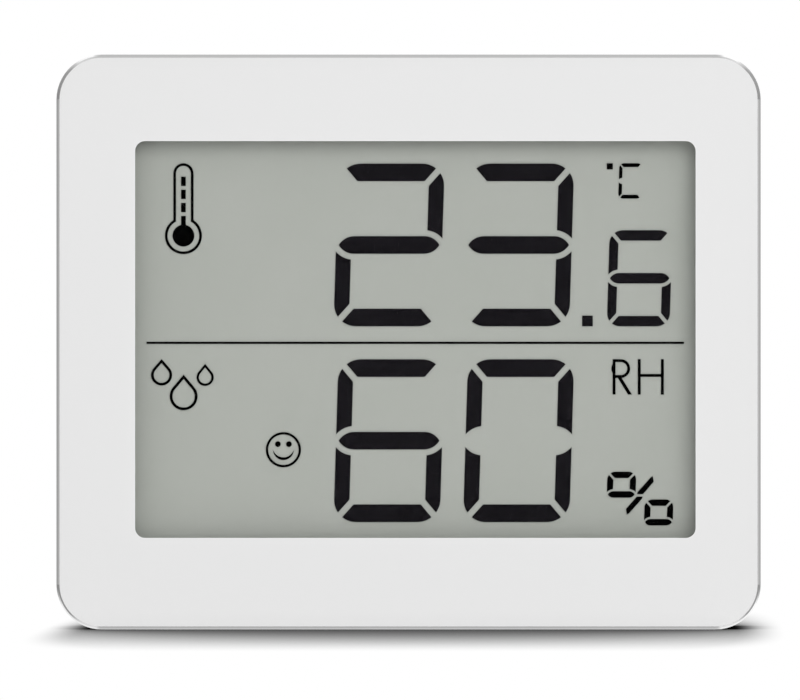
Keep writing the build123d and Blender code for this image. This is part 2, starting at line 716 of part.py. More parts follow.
# Printed film behind the plate, open at the window
with BuildPart() as panel_film:
    with BuildSketch(facing(FILM_BACK)):
        with Locations(CASE_MIDDLE):
            RectangleRounded(
                WIDTH - 2 * FILM_INSET, HEIGHT - 2 * FILM_INSET, CASE_CORNER - FILM_INSET
            )
        with Locations(WINDOW_MIDDLE):
            RectangleRounded(WINDOW_WIDTH, WINDOW_HEIGHT, WINDOW_CORNER, mode=Mode.SUBTRACT)
    extrude(amount=FILM_THICKNESS)
panel_film.part.label = "panel_film"

# Adhesive frame between film and case
with BuildPart() as panel_tape:
    with BuildSketch(facing(TAPE_BACK)):
        with Locations(CASE_MIDDLE):
            RectangleRounded(
                WIDTH - 2 * TAPE_INSET, HEIGHT - 2 * TAPE_INSET, CASE_CORNER - TAPE_INSET
            )
        with Locations(WINDOW_MIDDLE):
            RectangleRounded(
                WINDOW_WIDTH + 2 * TAPE_WINDOW_GAP,
                WINDOW_HEIGHT + 2 * TAPE_WINDOW_GAP,
                WINDOW_CORNER + TAPE_WINDOW_GAP,
                mode=Mode.SUBTRACT,
            )
    extrude(amount=TAPE_THICKNESS)
panel_tape.part.label = "panel_tape"

# Front half of the case: face with its opening, skirt, ribs round the glass and screw bosses
GLASS_MIDDLE = ((GLASS_LEFT + GLASS_RIGHT) / 2, (FRONT_GLASS_BOTTOM + GLASS_TOP) / 2)
GLASS_SIZE = (GLASS_RIGHT - GLASS_LEFT, GLASS_TOP - FRONT_GLASS_BOTTOM)
with BuildPart() as front_frame:
    with BuildSketch(facing(PARTING_Y)):
        with Locations(CASE_MIDDLE):
            RectangleRounded(WIDTH, HEIGHT, CASE_CORNER)
    extrude(amount=PARTING_Y - TAPE_BACK)
    chamfer(front_frame.faces().sort_by(Axis.Y)[0].edges(), SEAM_CHAMFER)
    with BuildSketch(facing(PARTING_Y)):
        with Locations(CASE_MIDDLE):
            RectangleRounded(
                WIDTH - 2 * CASE_WALL, HEIGHT - 2 * CASE_WALL, CASE_CORNER - CASE_WALL
            )
    extrude(amount=PARTING_Y - FACE_BACK, mode=Mode.SUBTRACT)
    with BuildSketch(facing(FACE_BACK)):
        with Locations(WINDOW_MIDDLE):
            RectangleRounded(
                WINDOW_WIDTH + 2 * FRAME_WINDOW_GAP,
                WINDOW_HEIGHT + 2 * FRAME_WINDOW_GAP,
                WINDOW_CORNER + FRAME_WINDOW_GAP,
            )
    extrude(amount=FRAME_FACE, mode=Mode.SUBTRACT)
    with BuildSketch(facing(FACE_BACK + GLASS_RIB_HEIGHT)):
        with Locations(GLASS_MIDDLE):
            Rectangle(
                GLASS_SIZE[0] + 2 * (GLASS_FIT + GLASS_RIB),
                GLASS_SIZE[1] + 2 * (GLASS_FIT + GLASS_RIB),
            )
            Rectangle(
                GLASS_SIZE[0] + 2 * GLASS_FIT,
                GLASS_SIZE[1] + 2 * GLASS_FIT,
                mode=Mode.SUBTRACT,
            )
    extrude(amount=GLASS_RIB_HEIGHT)
    with BuildSketch(facing(PARTING_Y)):
        with Locations(*CASE_SCREWS):
            Circle(CASE_BOSS_RADIUS)
    extrude(amount=PARTING_Y - FACE_BACK)
    with BuildSketch(facing(BOARD_FRONT)):
        with Locations(*BOARD_SCREWS):
            Circle(BOARD_BOSS_RADIUS)
    extrude(amount=BOARD_FRONT - FACE_BACK)
    with BuildSketch(facing(PARTING_Y)):
        with Locations(*CASE_SCREWS):
            Circle(CASE_SCREW_RADIUS + SCREW_FIT)
    extrude(amount=PARTING_Y - FACE_BACK, mode=Mode.SUBTRACT)
    with BuildSketch(facing(BOARD_FRONT)):
        with Locations(*BOARD_SCREWS):
            Circle(BOARD_SCREW_RADIUS + SCREW_FIT)
    extrude(amount=BOARD_FRONT - FACE_BACK, mode=Mode.SUBTRACT)
front_frame.part.label = "front_frame"

# Display cell: polariser, two glasses, their seal and the reflector
REAR_GLASS_MIDDLE = ((GLASS_LEFT + GLASS_RIGHT) / 2, (REAR_GLASS_BOTTOM + GLASS_TOP) / 2)
REAR_GLASS_SIZE = (GLASS_RIGHT - GLASS_LEFT, GLASS_TOP - REAR_GLASS_BOTTOM)
SHEET_SIZE = (REAR_GLASS_SIZE[0] - 2 * SHEET_INSET, REAR_GLASS_SIZE[1] - 2 * SHEET_INSET)
with BuildPart() as lcd_front_polariser:
    with BuildSketch(facing(POLARISER_BACK)):
        with Locations(REAR_GLASS_MIDDLE):
            Rectangle(*SHEET_SIZE)
    extrude(amount=POLARISER_THICKNESS)
lcd_front_polariser.part.label = "lcd_front_polariser"

with BuildPart() as lcd_front_glass:
    with BuildSketch(facing(FRONT_GLASS_BACK)):
        with Locations(GLASS_MIDDLE):
            Rectangle(*GLASS_SIZE)
    extrude(amount=GLASS_THICKNESS)
lcd_front_glass.part.label = "lcd_front_glass"

with BuildPart() as lcd_seal:
    with BuildSketch(facing(CRYSTAL_BACK)):
        with Locations(REAR_GLASS_MIDDLE):
            Rectangle(*REAR_GLASS_SIZE)
            Rectangle(
                REAR_GLASS_SIZE[0] - 2 * SEAL_WIDTH,
                REAR_GLASS_SIZE[1] - 2 * SEAL_WIDTH,
                mode=Mode.SUBTRACT,
            )
    extrude(amount=CRYSTAL_GAP)
lcd_seal.part.label = "lcd_seal"

with BuildPart() as lcd_rear_glass:
    with BuildSketch(facing(REAR_GLASS_BACK)):
        with Locations(REAR_GLASS_MIDDLE):
            Rectangle(*REAR_GLASS_SIZE)
    extrude(amount=GLASS_THICKNESS)
lcd_rear_glass.part.label = "lcd_rear_glass"

with BuildPart() as lcd_reflector:
    with BuildSketch(facing(REFLECTOR_BACK)):
        with Locations(REAR_GLASS_MIDDLE):
            Rectangle(*SHEET_SIZE)
    extrude(amount=REFLECTOR_THICKNESS)
lcd_reflector.part.label = "lcd_reflector"

# Dark marks in the gap between the glasses
with BuildPart() as lcd_temperature_digits:
    for face in character("2", LARGE_DIGIT, (FIRST_COLUMN, TEMPERATURE_ROW)):
        extrude(face, amount=CRYSTAL_GAP)
    for face in character("3", LARGE_DIGIT, (SECOND_COLUMN, TEMPERATURE_ROW)):
        extrude(face, amount=CRYSTAL_GAP)
    small_digit = scaled(LARGE_DIGIT, SMALL_DIGIT)
    tenths_z = TEMPERATURE_ROW - DIGIT_HEIGHT / 2 + small_digit.height / 2
    for face in character("6", small_digit, (DIGITS_RIGHT + TENTHS_X, tenths_z)):
        extrude(face, amount=CRYSTAL_GAP)
    point_middle = (DIGITS_RIGHT + POINT_X, TEMPERATURE_ROW - DIGIT_HEIGHT / 2 + POINT_SIZE / 2)
    extrude(square(point_middle, POINT_SIZE), amount=CRYSTAL_GAP)
lcd_temperature_digits.part.label = "lcd_temperature_digits"

with BuildPart() as lcd_humidity_digits:
    for face in character("6", LARGE_DIGIT, (FIRST_COLUMN, HUMIDITY_ROW)):
        extrude(face, amount=CRYSTAL_GAP)
    for face in character("0", LARGE_DIGIT, (SECOND_COLUMN, HUMIDITY_ROW)):
        extrude(face, amount=CRYSTAL_GAP)
lcd_humidity_digits.part.label = "lcd_humidity_digits"

with BuildPart() as lcd_symbols:
    with BuildSketch(facing(CRYSTAL_BACK)):
        with Locations((WINDOW_MIDDLE[0], RULE_Z)):
            Rectangle(WINDOW_WIDTH - 2 * RULE_MARGIN, RULE_THICKNESS)
    extrude(amount=CRYSTAL_GAP)
    thermometer_middle = (WINDOW_LEFT + THERMOMETER_X, TEMPERATURE_ROW + THERMOMETER_Z)
    extrude(thermometer_symbol(thermometer_middle), amount=CRYSTAL_GAP)
    for drop_x, drop_z, drop_radius, tip_rise, drop_stroke in DROPS:
        drop_middle = (WINDOW_LEFT + drop_x, HUMIDITY_ROW + drop_z)
        extrude(drop_symbol(drop_middle, drop_radius, tip_rise, drop_stroke), amount=CRYSTAL_GAP)
    smiley_middle = (WINDOW_LEFT + SMILEY_X, HUMIDITY_ROW + SMILEY_Z)
    extrude(smiley_symbol(smiley_middle), amount=CRYSTAL_GAP)
    degree_middle = (DIGITS_RIGHT + DEGREE_X, TEMPERATURE_ROW + DEGREE_Z)
    extrude(square(degree_middle, DEGREE_SIZE), amount=CRYSTAL_GAP)
    letter_middle = (DIGITS_RIGHT + UNIT_LETTER_X, TEMPERATURE_ROW + UNIT_LETTER_Z)
    for face in character("C", scaled(LARGE_DIGIT, UNIT_LETTER), letter_middle):
        extrude(face, amount=CRYSTAL_GAP)
    label_corner = (DIGITS_RIGHT + LABEL_X, HUMIDITY_ROW + LABEL_Z)
    extrude(humidity_label(label_corner), amount=CRYSTAL_GAP)
    percent_middle = (DIGITS_RIGHT + PERCENT_X, HUMIDITY_ROW + PERCENT_Z)
    for turn in (1, -1):
        extrude(percent_slash(percent_middle, turn), amount=CRYSTAL_GAP)
        # The upper left ring and the lower right one are alike: the upper half of a character
        ring_lift = turn * PERCENT_SPREAD_Z - (PERCENT_RING_HEIGHT + PERCENT_BAR_HEIGHT) / 4
        ring_middle = (percent_middle[0] - turn * PERCENT_SPREAD_X, percent_middle[1] + ring_lift)
        for face in character("percent ring", PERCENT_RING, ring_middle):
            extrude(face, amount=CRYSTAL_GAP)
lcd_symbols.part.label = "lcd_symbols"

# Rubber connector from the ledge of the front glass to the board
with BuildPart() as zebra_strip:
    with BuildSketch(facing(BOARD_FRONT)):
        zebra_space = REAR_GLASS_BOTTOM - FRONT_GLASS_BOTTOM
        with Locations((WINDOW_MIDDLE[0], FRONT_GLASS_BOTTOM + zebra_space / 2)):
            Rectangle(WINDOW_WIDTH, ZEBRA_HEIGHT)
    extrude(amount=BOARD_FRONT - FRONT_GLASS_BACK)
zebra_strip.part.label = "zebra_strip"

# Foam strips that press the display forward, at the sides and the top
with BuildPart() as lcd_cushions:
    cushion_x = GLASS_RIGHT - WINDOW_MIDDLE[0] - CUSHION_INSET - CUSHION_WIDTH / 2
    cushion_top = GLASS_TOP - CUSHION_INSET
    cushion_bottom = REAR_GLASS_BOTTOM + CUSHION_INSET
    with BuildSketch(facing(BOARD_FRONT)):
        for side in (-1, 1):
            spot = (WINDOW_MIDDLE[0] + side * cushion_x, (cushion_top + cushion_bottom) / 2)
            with Locations(spot):
                Rectangle(CUSHION_WIDTH, cushion_top - cushion_bottom)
        with Locations((WINDOW_MIDDLE[0], cushion_top - CUSHION_WIDTH / 2)):
            Rectangle(2 * (cushion_x - CUSHION_WIDTH), CUSHION_WIDTH)
    extrude(amount=CUSHION_THICKNESS)
lcd_cushions.part.label = "lcd_cushions"

# Circuit board, on the four short bosses
with BuildPart() as circuit_board:
    with BuildSketch(facing(BOARD_BACK)):
        with Locations(CASE_MIDDLE):
            RectangleRounded(2 * BOARD_HALF_WIDTH, HEIGHT - 2 * BOARD_INSET, BOARD_CORNER)
        with Locations(*BOARD_SCREWS):
            Circle(BOARD_SCREW_RADIUS + SCREW_FIT, mode=Mode.SUBTRACT)
    extrude(amount=BOARD_THICKNESS)
circuit_board.part.label = "circuit_board"


def cross_recess(spots, head_back, head_radius):
    """A cross at each screw, on the plane of the heads."""
    with BuildSketch(facing(head_back)) as face:
        with Locations(*spots):
            Rectangle(2 * (head_radius - CROSS_EDGE), CROSS_WIDTH)
            Rectangle(CROSS_WIDTH, 2 * (head_radius - CROSS_EDGE))
    return face.sketch


with BuildPart() as board_screws:
    with BuildSketch(facing(BOARD_BACK)):
        with Locations(*BOARD_SCREWS):
            Circle(BOARD_SCREW_RADIUS)
    extrude(amount=BOARD_BACK - FACE_BACK - SCREW_TIP_GAP)
    with BuildSketch(facing(BOARD_BACK)):
        with Locations(*BOARD_SCREWS):
            Circle(BOARD_HEAD_RADIUS)
    extrude(amount=-BOARD_HEAD_HEIGHT)
    board_head_back = BOARD_BACK + BOARD_HEAD_HEIGHT
    extrude(
        cross_recess(BOARD_SCREWS, board_head_back, BOARD_HEAD_RADIUS),
        amount=CROSS_DEPTH,
        mode=Mode.SUBTRACT,
    )
board_screws.part.label = "board_screws"

# Drop of resin over the bare chip
with BuildPart() as chip_blob:
    with BuildSketch(facing(BOARD_BACK)):
        with Locations((CHIP_X, CHIP_Z)):
            Circle(CHIP_RADIUS)
    extrude(amount=-CHIP_HEIGHT)
    fillet(chip_blob.edges().group_by(Axis.Y)[-1], CHIP_ROUNDING)
chip_blob.part.label = "chip_blob"

# Resistors and capacitors
with BuildPart() as board_components:
    component_pitch = COMPONENT_LENGTH + COMPONENT_GAP
    with BuildSketch(facing(BOARD_BACK)):
        with Locations((COMPONENT_X, COMPONENT_Z)):
            with GridLocations(component_pitch, component_pitch, COMPONENT_COLUMNS, COMPONENT_ROWS):
                Rectangle(COMPONENT_LENGTH, COMPONENT_WIDTH)
    extrude(amount=-COMPONENT_HEIGHT)
board_components.part.label = "board_components"

# Watch crystal: a can that lies on the board, with its two leads bent down
with BuildPart() as clock_crystal:
    crystal_y = BOARD_BACK + CRYSTAL_RADIUS
    with BuildSketch(Plane.XY.offset(CRYSTAL_Z - CRYSTAL_LENGTH / 2)):
        with Locations((CRYSTAL_X, crystal_y)):
            Circle(CRYSTAL_RADIUS)
    extrude(amount=CRYSTAL_LENGTH)
    with BuildSketch(Plane.XY.offset(CRYSTAL_Z - CRYSTAL_LENGTH / 2)):
        for side in (-1, 1):
            with Locations((CRYSTAL_X + side * CRYSTAL_RADIUS / 2, crystal_y)):
                Circle(LEAD_RADIUS)
    extrude(amount=-CRYSTAL_RADIUS)
    with BuildSketch(facing(BOARD_BACK)):
        lead_z = CRYSTAL_Z - CRYSTAL_LENGTH / 2 - CRYSTAL_RADIUS
        for side in (-1, 1):
            with Locations((CRYSTAL_X + side * CRYSTAL_RADIUS / 2, lead_z)):
                Circle(LEAD_RADIUS)
    extrude(amount=-(CRYSTAL_RADIUS + LEAD_RADIUS))
clock_crystal.part.label = "clock_crystal"

# Humidity sensor plate under its slotted cap
with BuildPart() as humidity_sensor:
    with BuildSketch(facing(BOARD_BACK)):
        with Locations((SENSOR_X, SENSOR_Z)):
            Rectangle(SENSOR_WIDTH, SENSOR_LENGTH)
    extrude(amount=-SENSOR_THICKNESS)
humidity_sensor.part.label = "humidity_sensor"

with BuildPart() as sensor_cap:
    with BuildSketch(facing(BOARD_BACK)):
        with Locations((SENSOR_X, SENSOR_Z)):
            Rectangle(SENSOR_CAP_WIDTH, SENSOR_CAP_LENGTH)
    extrude(amount=-SENSOR_CAP_HEIGHT)
    with BuildSketch(facing(BOARD_BACK)):
        with Locations((SENSOR_X, SENSOR_Z)):
            Rectangle(
                SENSOR_CAP_WIDTH - 2 * SENSOR_CAP_WALL,
                SENSOR_CAP_LENGTH - 2 * SENSOR_CAP_WALL,
            )
    extrude(amount=-(SENSOR_CAP_HEIGHT - SENSOR_CAP_WALL), mode=Mode.SUBTRACT)
    with BuildSketch(facing(BOARD_BACK + SENSOR_CAP_HEIGHT)):
        with Locations((SENSOR_X, SENSOR_Z)):
            with GridLocations(0, SENSOR_SLOT_PITCH, 1, SENSOR_SLOT_COUNT):
                Rectangle(SENSOR_WIDTH, SENSOR_SLOT_WIDTH)
    extrude(amount=SENSOR_CAP_WALL, mode=Mode.SUBTRACT)
sensor_cap.part.label = "sensor_cap"

# Thermistor bead on two stiff leads
with BuildPart() as thermistor:
    bead_z = SENSOR_Z - THERMISTOR_DROP
    with Locations((SENSOR_X, BOARD_BACK + THERMISTOR_LIFT, bead_z)):
        Sphere(THERMISTOR_RADIUS)
    with BuildSketch(facing(BOARD_BACK)):
        for side in (-1, 1):
            with Locations((SENSOR_X + side * THERMISTOR_LEAD_SPACING / 2, bead_z)):
                Circle(LEAD_RADIUS)
    extrude(amount=-THERMISTOR_LIFT)
thermistor.part.label = "thermistor"

# Housings of the two switches, each with a socket for its plunger
with BuildPart() as switch_bodies:
    with BuildSketch(facing(BOARD_BACK)):
        with Locations(*BUTTON_SPOTS.values()):
            Rectangle(SWITCH_WIDTH, SWITCH_WIDTH)
    extrude(amount=BOARD_BACK - SWITCH_BACK)
    with BuildSketch(facing(SWITCH_BACK)):
        with Locations(*BUTTON_SPOTS.values()):
            Circle(PLUNGER_RADIUS + PLUNGER_GAP)
    extrude(amount=PLUNGER_SOCKET, mode=Mode.SUBTRACT)
switch_bodies.part.label = "switch_bodies"

# A plunger and a button for each switch
moving_switch_parts = {}
for name, spot in BUTTON_SPOTS.items():
    with BuildPart() as plunger:
        with BuildSketch(facing(FLANGE_FRONT)):
            with Locations(spot):
                Circle(PLUNGER_RADIUS)
        extrude(amount=FLANGE_FRONT - SWITCH_BACK + PLUNGER_SEAT)
    moving_switch_parts[f"{name}_switch_plunger"] = plunger.part
    with BuildPart() as button:
        with BuildSketch(facing(FLANGE_FRONT)):
            with Locations(spot):
                Circle(BUTTON_RADIUS + BUTTON_FLANGE)
        extrude(amount=-BUTTON_FLANGE_THICKNESS)
        with BuildSketch(facing(FLANGE_BACK)):
            with Locations(spot):
                Circle(BUTTON_RADIUS)
        extrude(amount=-(BACK_Y - BUTTON_SINK - FLANGE_BACK))
        fillet(button.edges().group_by(Axis.Y)[-1], BUTTON_EDGE)
    moving_switch_parts[f"{name}_button"] = button.part
for name, solid in moving_switch_parts.items():
    solid.label = name

# Ring on the board that holds the cell, open where the side contact stands
with BuildPart() as cell_holder:
    holder_inner = CELL_RADIUS + HOLDER_CLEARANCE
    with BuildSketch(facing(BOARD_BACK)):
        with Locations(CELL_MIDDLE):
            Circle(holder_inner + HOLDER_WALL)
            Circle(holder_inner, mode=Mode.SUBTRACT)
        with Locations((CELL_MIDDLE[0], CELL_MIDDLE[1] - holder_inner)):
            Rectangle(CONTACT_WIDTH + 2 * CONTACT_GAP, 4 * HOLDER_WALL, mode=Mode.SUBTRACT)
    extrude(amount=BOARD_BACK - HOLDER_BACK)
cell_holder.part.label = "cell_holder"

# Side contact: a foot on the board and a blade beside the cell
with BuildPart() as cell_contact_positive:
    blade_z = CELL_MIDDLE[1] - CELL_RADIUS - CONTACT_CLEARANCE
    with BuildSketch(facing(BOARD_BACK)):
        with Locations((CELL_MIDDLE[0], blade_z - CONTACT_FOOT / 2)):
            Rectangle(CONTACT_WIDTH, CONTACT_FOOT)
    extrude(amount=-CONTACT_SHEET)
    with BuildSketch(facing(BOARD_BACK)):
        with Locations((CELL_MIDDLE[0], blade_z - CONTACT_SHEET / 2)):
            Rectangle(CONTACT_WIDTH, CONTACT_SHEET)
    extrude(amount=-(CELL_CONTACT_HEIGHT + CELL_THICKNESS - CONTACT_SHEET))
cell_contact_positive.part.label = "cell_contact_positive"

# Contact under the cell: a flat base with a springy arch that meets the cell
with BuildPart() as cell_contact_negative:
    with BuildSketch(Plane.XY.offset(CELL_MIDDLE[1] - CONTACT_WIDTH / 2)):
        with Locations((CELL_MIDDLE[0], BOARD_BACK + CONTACT_SHEET / 2)):
            Rectangle(2 * NEGATIVE_REACH, CONTACT_SHEET)
        with BuildLine():
            arch_foot = BOARD_BACK + CONTACT_SHEET / 2
            arch = ThreePointArc(
                (CELL_MIDDLE[0] - NEGATIVE_ARCH, arch_foot),
                (CELL_MIDDLE[0], CELL_FRONT),
                (CELL_MIDDLE[0] + NEGATIVE_ARCH, arch_foot),
            )
            Line(arch @ 1, (CELL_MIDDLE[0] + NEGATIVE_ARCH - 3 * CONTACT_SHEET, arch_foot))
            ThreePointArc(
                (CELL_MIDDLE[0] + NEGATIVE_ARCH - 3 * CONTACT_SHEET, arch_foot),
                (CELL_MIDDLE[0], CELL_FRONT - CONTACT_SHEET),
                (CELL_MIDDLE[0] - NEGATIVE_ARCH + 3 * CONTACT_SHEET, arch_foot),
            )
            Line((CELL_MIDDLE[0] - NEGATIVE_ARCH + 3 * CONTACT_SHEET, arch_foot), arch @ 0)
        make_face()
    extrude(amount=CONTACT_WIDTH)
cell_contact_negative.part.label = "cell_contact_negative"

# Coin cell, its wide positive can towards the door
with BuildPart() as coin_cell:
    with BuildSketch(facing(CELL_FRONT)):
        with Locations(CELL_MIDDLE):
            Circle(CELL_RADIUS - CELL_RIM_STEP)
    extrude(amount=-CELL_RIM_HEIGHT)
    with BuildSketch(facing(CELL_FRONT + CELL_RIM_HEIGHT)):
        with Locations(CELL_MIDDLE):
            Circle(CELL_RADIUS)
    extrude(amount=-(CELL_THICKNESS - CELL_RIM_HEIGHT))
    fillet(coin_cell.edges().group_by(Axis.Y)[-1], CELL_EDGE)
    fillet(coin_cell.edges().group_by(Axis.Y)[0], CELL_EDGE)
coin_cell.part.label = "coin_cell"


def stand_outline(grow, bottom, top):
    """The stand's tapering outline on the back plane, wider by grow at each side, from bottom to top."""
    taper = (STAND_TOP_WIDTH - STAND_TIP_WIDTH) / 2 / (STAND_PIVOT_Z - STAND_TIP_Z)

    def half_width(z):
        return STAND_TIP_WIDTH / 2 + taper * (min(z, STAND_PIVOT_Z) - STAND_TIP_Z) + grow

    corners = [(half_width(bottom), bottom)]
    if top > STAND_PIVOT_Z:
        corners.append((half_width(STAND_PIVOT_Z), STAND_PIVOT_Z))
    corners.append((half_width(top), top))
    with BuildSketch(facing(BACK_Y)) as face:
        with BuildLine():
            Polyline(*corners, *((-x, z) for x, z in reversed(corners)), close=True)
        make_face()
    return face.sketch


def band(middle_x, half_width, bottom, top, back):
    """An upright rectangle on the plane at depth back."""
    with BuildSketch(facing(back)) as face:
        with Locations((middle_x, (bottom + top) / 2)):
            Rectangle(2 * half_width, top - bottom)
    return face.sketch


# Back half of the case
with BuildPart() as rear_cover:
    with BuildSketch(facing(PARTING_Y)):
        with Locations(CASE_MIDDLE):
            RectangleRounded(WIDTH, HEIGHT, CASE_CORNER)
    extrude(amount=PARTING_Y - BACK_Y)
    fillet(rear_cover.faces().sort_by(Axis.Y)[-1].edges(), BACK_FILLET)
    with BuildSketch(facing(PARTING_Y)):
        with Locations(CASE_MIDDLE):
            RectangleRounded(
                WIDTH - 2 * COVER_WALL, HEIGHT - 2 * COVER_WALL, CASE_CORNER - COVER_WALL
            )
    extrude(amount=PARTING_Y - WALL_INNER, mode=Mode.SUBTRACT)
    # Lip that enters the front half, cut away at its bosses
    with BuildSketch(facing(PARTING_Y)):
        with Locations(CASE_MIDDLE):
            RectangleRounded(
                WIDTH - 2 * (CASE_WALL + LIP_CLEARANCE),
                HEIGHT - 2 * (CASE_WALL + LIP_CLEARANCE),
                CASE_CORNER - CASE_WALL - LIP_CLEARANCE,
            )
            RectangleRounded(
                WIDTH - 2 * COVER_WALL,
                HEIGHT - 2 * COVER_WALL,
                CASE_CORNER - COVER_WALL,
                mode=Mode.SUBTRACT,
            )
        with Locations(*CASE_SCREWS):
            Circle(CASE_BOSS_RADIUS + LIP_BOSS_GAP, mode=Mode.SUBTRACT)
    extrude(amount=LIP_HEIGHT)
    # Posts over the front half's bosses
    with BuildSketch(facing(PARTING_Y)):
        with Locations(*CASE_SCREWS):
            Circle(HEAD_HOLE_RADIUS + POST_WALL)
    extrude(amount=PARTING_Y - WALL_INNER)
    # Pan behind the stand, box behind the keyhole, and the block that the door's rails are cut from
    pan = stand_outline(STAND_SIDE_GAP + PAN_WALL, CASE_WALL, RECESS_TOP + PAN_WALL)
    extrude(pan, amount=BACK_Y - RECESS_FLOOR + PAN_FLOOR)
    pocket_half = KEYHOLE_ENTRY_RADIUS + KEYHOLE_POCKET_GAP
    pocket_bottom = KEYHOLE_ENTRY_Z - pocket_half
    pocket_top = KEYHOLE_TOP + KEYHOLE_SLOT_RADIUS + KEYHOLE_POCKET_GAP
    box = band(
        0,
        pocket_half + KEYHOLE_WALL,
        pocket_bottom - KEYHOLE_WALL,
        pocket_top + KEYHOLE_WALL,
        WALL_INNER,
    )
    extrude(box, amount=KEYHOLE_POCKET_DEPTH + KEYHOLE_WALL)
    tab_bottom = DOOR_BOTTOM - DOOR_TAB_REACH - DOOR_SIDE_CLEARANCE
    rail_block = band(
        CELL_MIDDLE[0],
        RUNNER_HALF_WIDTH + DOOR_SIDE_CLEARANCE + RAIL_WALL,
        tab_bottom - RAIL_WALL,
        HEIGHT - CASE_WALL,
        WALL_INNER,
    )
    extrude(rail_block, amount=WALL_INNER - RAIL_FRONT)
    # Well of the cell, the door's opening, its grooves and the pocket for its tab
    well = band(CELL_MIDDLE[0], WELL_HALF_WIDTH, WELL_BOTTOM, HEIGHT - COVER_WALL, WALL_INNER)
    extrude(well, amount=WALL_INNER - RAIL_FRONT, mode=Mode.SUBTRACT)
    door_edge = DOOR_BOTTOM - DOOR_SIDE_CLEARANCE
    beyond_top = HEIGHT + CASE_WALL
    door_half = DOOR_WIDTH / 2 + DOOR_SIDE_CLEARANCE
    opening = band(CELL_MIDDLE[0], door_half, door_edge, beyond_top, BACK_Y)
    extrude(opening, amount=BACK_WALL, mode=Mode.SUBTRACT)
    groove_half = RUNNER_HALF_WIDTH + DOOR_SIDE_CLEARANCE
    groove = band(CELL_MIDDLE[0], groove_half, door_edge, beyond_top, WALL_INNER)
    extrude(groove, amount=WALL_INNER - GROOVE_FRONT, mode=Mode.SUBTRACT)
    tab_half = DOOR_TAB_WIDTH / 2 + DOOR_SIDE_CLEARANCE
    tab_pocket = band(CELL_MIDDLE[0], tab_half, tab_bottom, DOOR_BOTTOM, WALL_INNER)
    extrude(tab_pocket, amount=WALL_INNER - GROOVE_FRONT, mode=Mode.SUBTRACT)
    # Recess of the stand, open at the base, with a hole in each side for its pins
    recess = stand_outline(STAND_SIDE_GAP, -CASE_WALL, RECESS_TOP)
    extrude(recess, amount=BACK_Y - RECESS_FLOOR, mode=Mode.SUBTRACT)
    hole_end = STAND_TOP_WIDTH / 2 + PIN_REACH + PIN_END_GAP
    with BuildSketch(Plane.YZ.offset(-hole_end)):
        with Locations((STAND_AXIS_Y, STAND_PIVOT_Z)):
            Circle(PIN_RADIUS + PIN_FIT)
    extrude(amount=2 * hole_end, mode=Mode.SUBTRACT)
    # Keyhole and the pocket behind it
    pocket = band(0, pocket_half, pocket_bottom, pocket_top, WALL_INNER)
    extrude(pocket, amount=KEYHOLE_POCKET_DEPTH, mode=Mode.SUBTRACT)
    with BuildSketch(facing(BACK_Y)):
        with Locations((0, KEYHOLE_ENTRY_Z)):
            Circle(KEYHOLE_ENTRY_RADIUS)
        with Locations((0, KEYHOLE_TOP)):
            Circle(KEYHOLE_SLOT_RADIUS)
        with Locations((0, KEYHOLE_TOP - KEYHOLE_DROP / 2)):
            Rectangle(2 * KEYHOLE_SLOT_RADIUS, KEYHOLE_DROP)
    extrude(amount=BACK_WALL, mode=Mode.SUBTRACT)
    # Holes of the buttons, each in a shallow dish
    with BuildSketch(facing(BACK_Y)):
        with Locations(*BUTTON_SPOTS.values()):
            Circle(BUTTON_DISH_RADIUS)
    extrude(amount=BUTTON_DISH_DEPTH, mode=Mode.SUBTRACT)
    with BuildSketch(facing(BACK_Y)):
        with Locations(*BUTTON_SPOTS.values()):
            Circle(BUTTON_RADIUS + BUTTON_GAP)
        # Air slots over the sensor
        with Locations((SENSOR_X, SENSOR_Z)):
            with GridLocations(0, VENT_PITCH, 1, VENT_COUNT):
                SlotOverall(VENT_LENGTH, VENT_WIDTH)
    extrude(amount=BACK_WALL, mode=Mode.SUBTRACT)
    # Screw holes, sunk for the heads
    with BuildSketch(facing(BACK_Y)):
        with Locations(*CASE_SCREWS):
            Circle(HEAD_HOLE_RADIUS)
    extrude(amount=BACK_Y - CASE_HEAD_FRONT, mode=Mode.SUBTRACT)
    with BuildSketch(facing(CASE_HEAD_FRONT)):
        with Locations(*CASE_SCREWS):
            Circle(CASE_SCREW_RADIUS + CASE_SCREW_HOLE_GAP)
    extrude(amount=CASE_HEAD_FRONT - PARTING_Y, mode=Mode.SUBTRACT)
rear_cover.part.label = "rear_cover"

# Screws that close the case
with BuildPart() as case_screws:
    with BuildSketch(facing(CASE_HEAD_FRONT)):
        with Locations(*CASE_SCREWS):
            Circle(CASE_SCREW_RADIUS)
    extrude(amount=CASE_HEAD_FRONT - FACE_BACK - SCREW_TIP_GAP)
    with BuildSketch(facing(CASE_HEAD_FRONT)):
        with Locations(*CASE_SCREWS):
            Circle(CASE_HEAD_RADIUS)
    extrude(amount=-CASE_HEAD_HEIGHT)
    case_head_back = CASE_HEAD_FRONT + CASE_HEAD_HEIGHT
    extrude(
        cross_recess(CASE_SCREWS, case_head_back, CASE_HEAD_RADIUS),
        amount=CROSS_DEPTH,
        mode=Mode.SUBTRACT,
    )
case_screws.part.label = "case_screws"

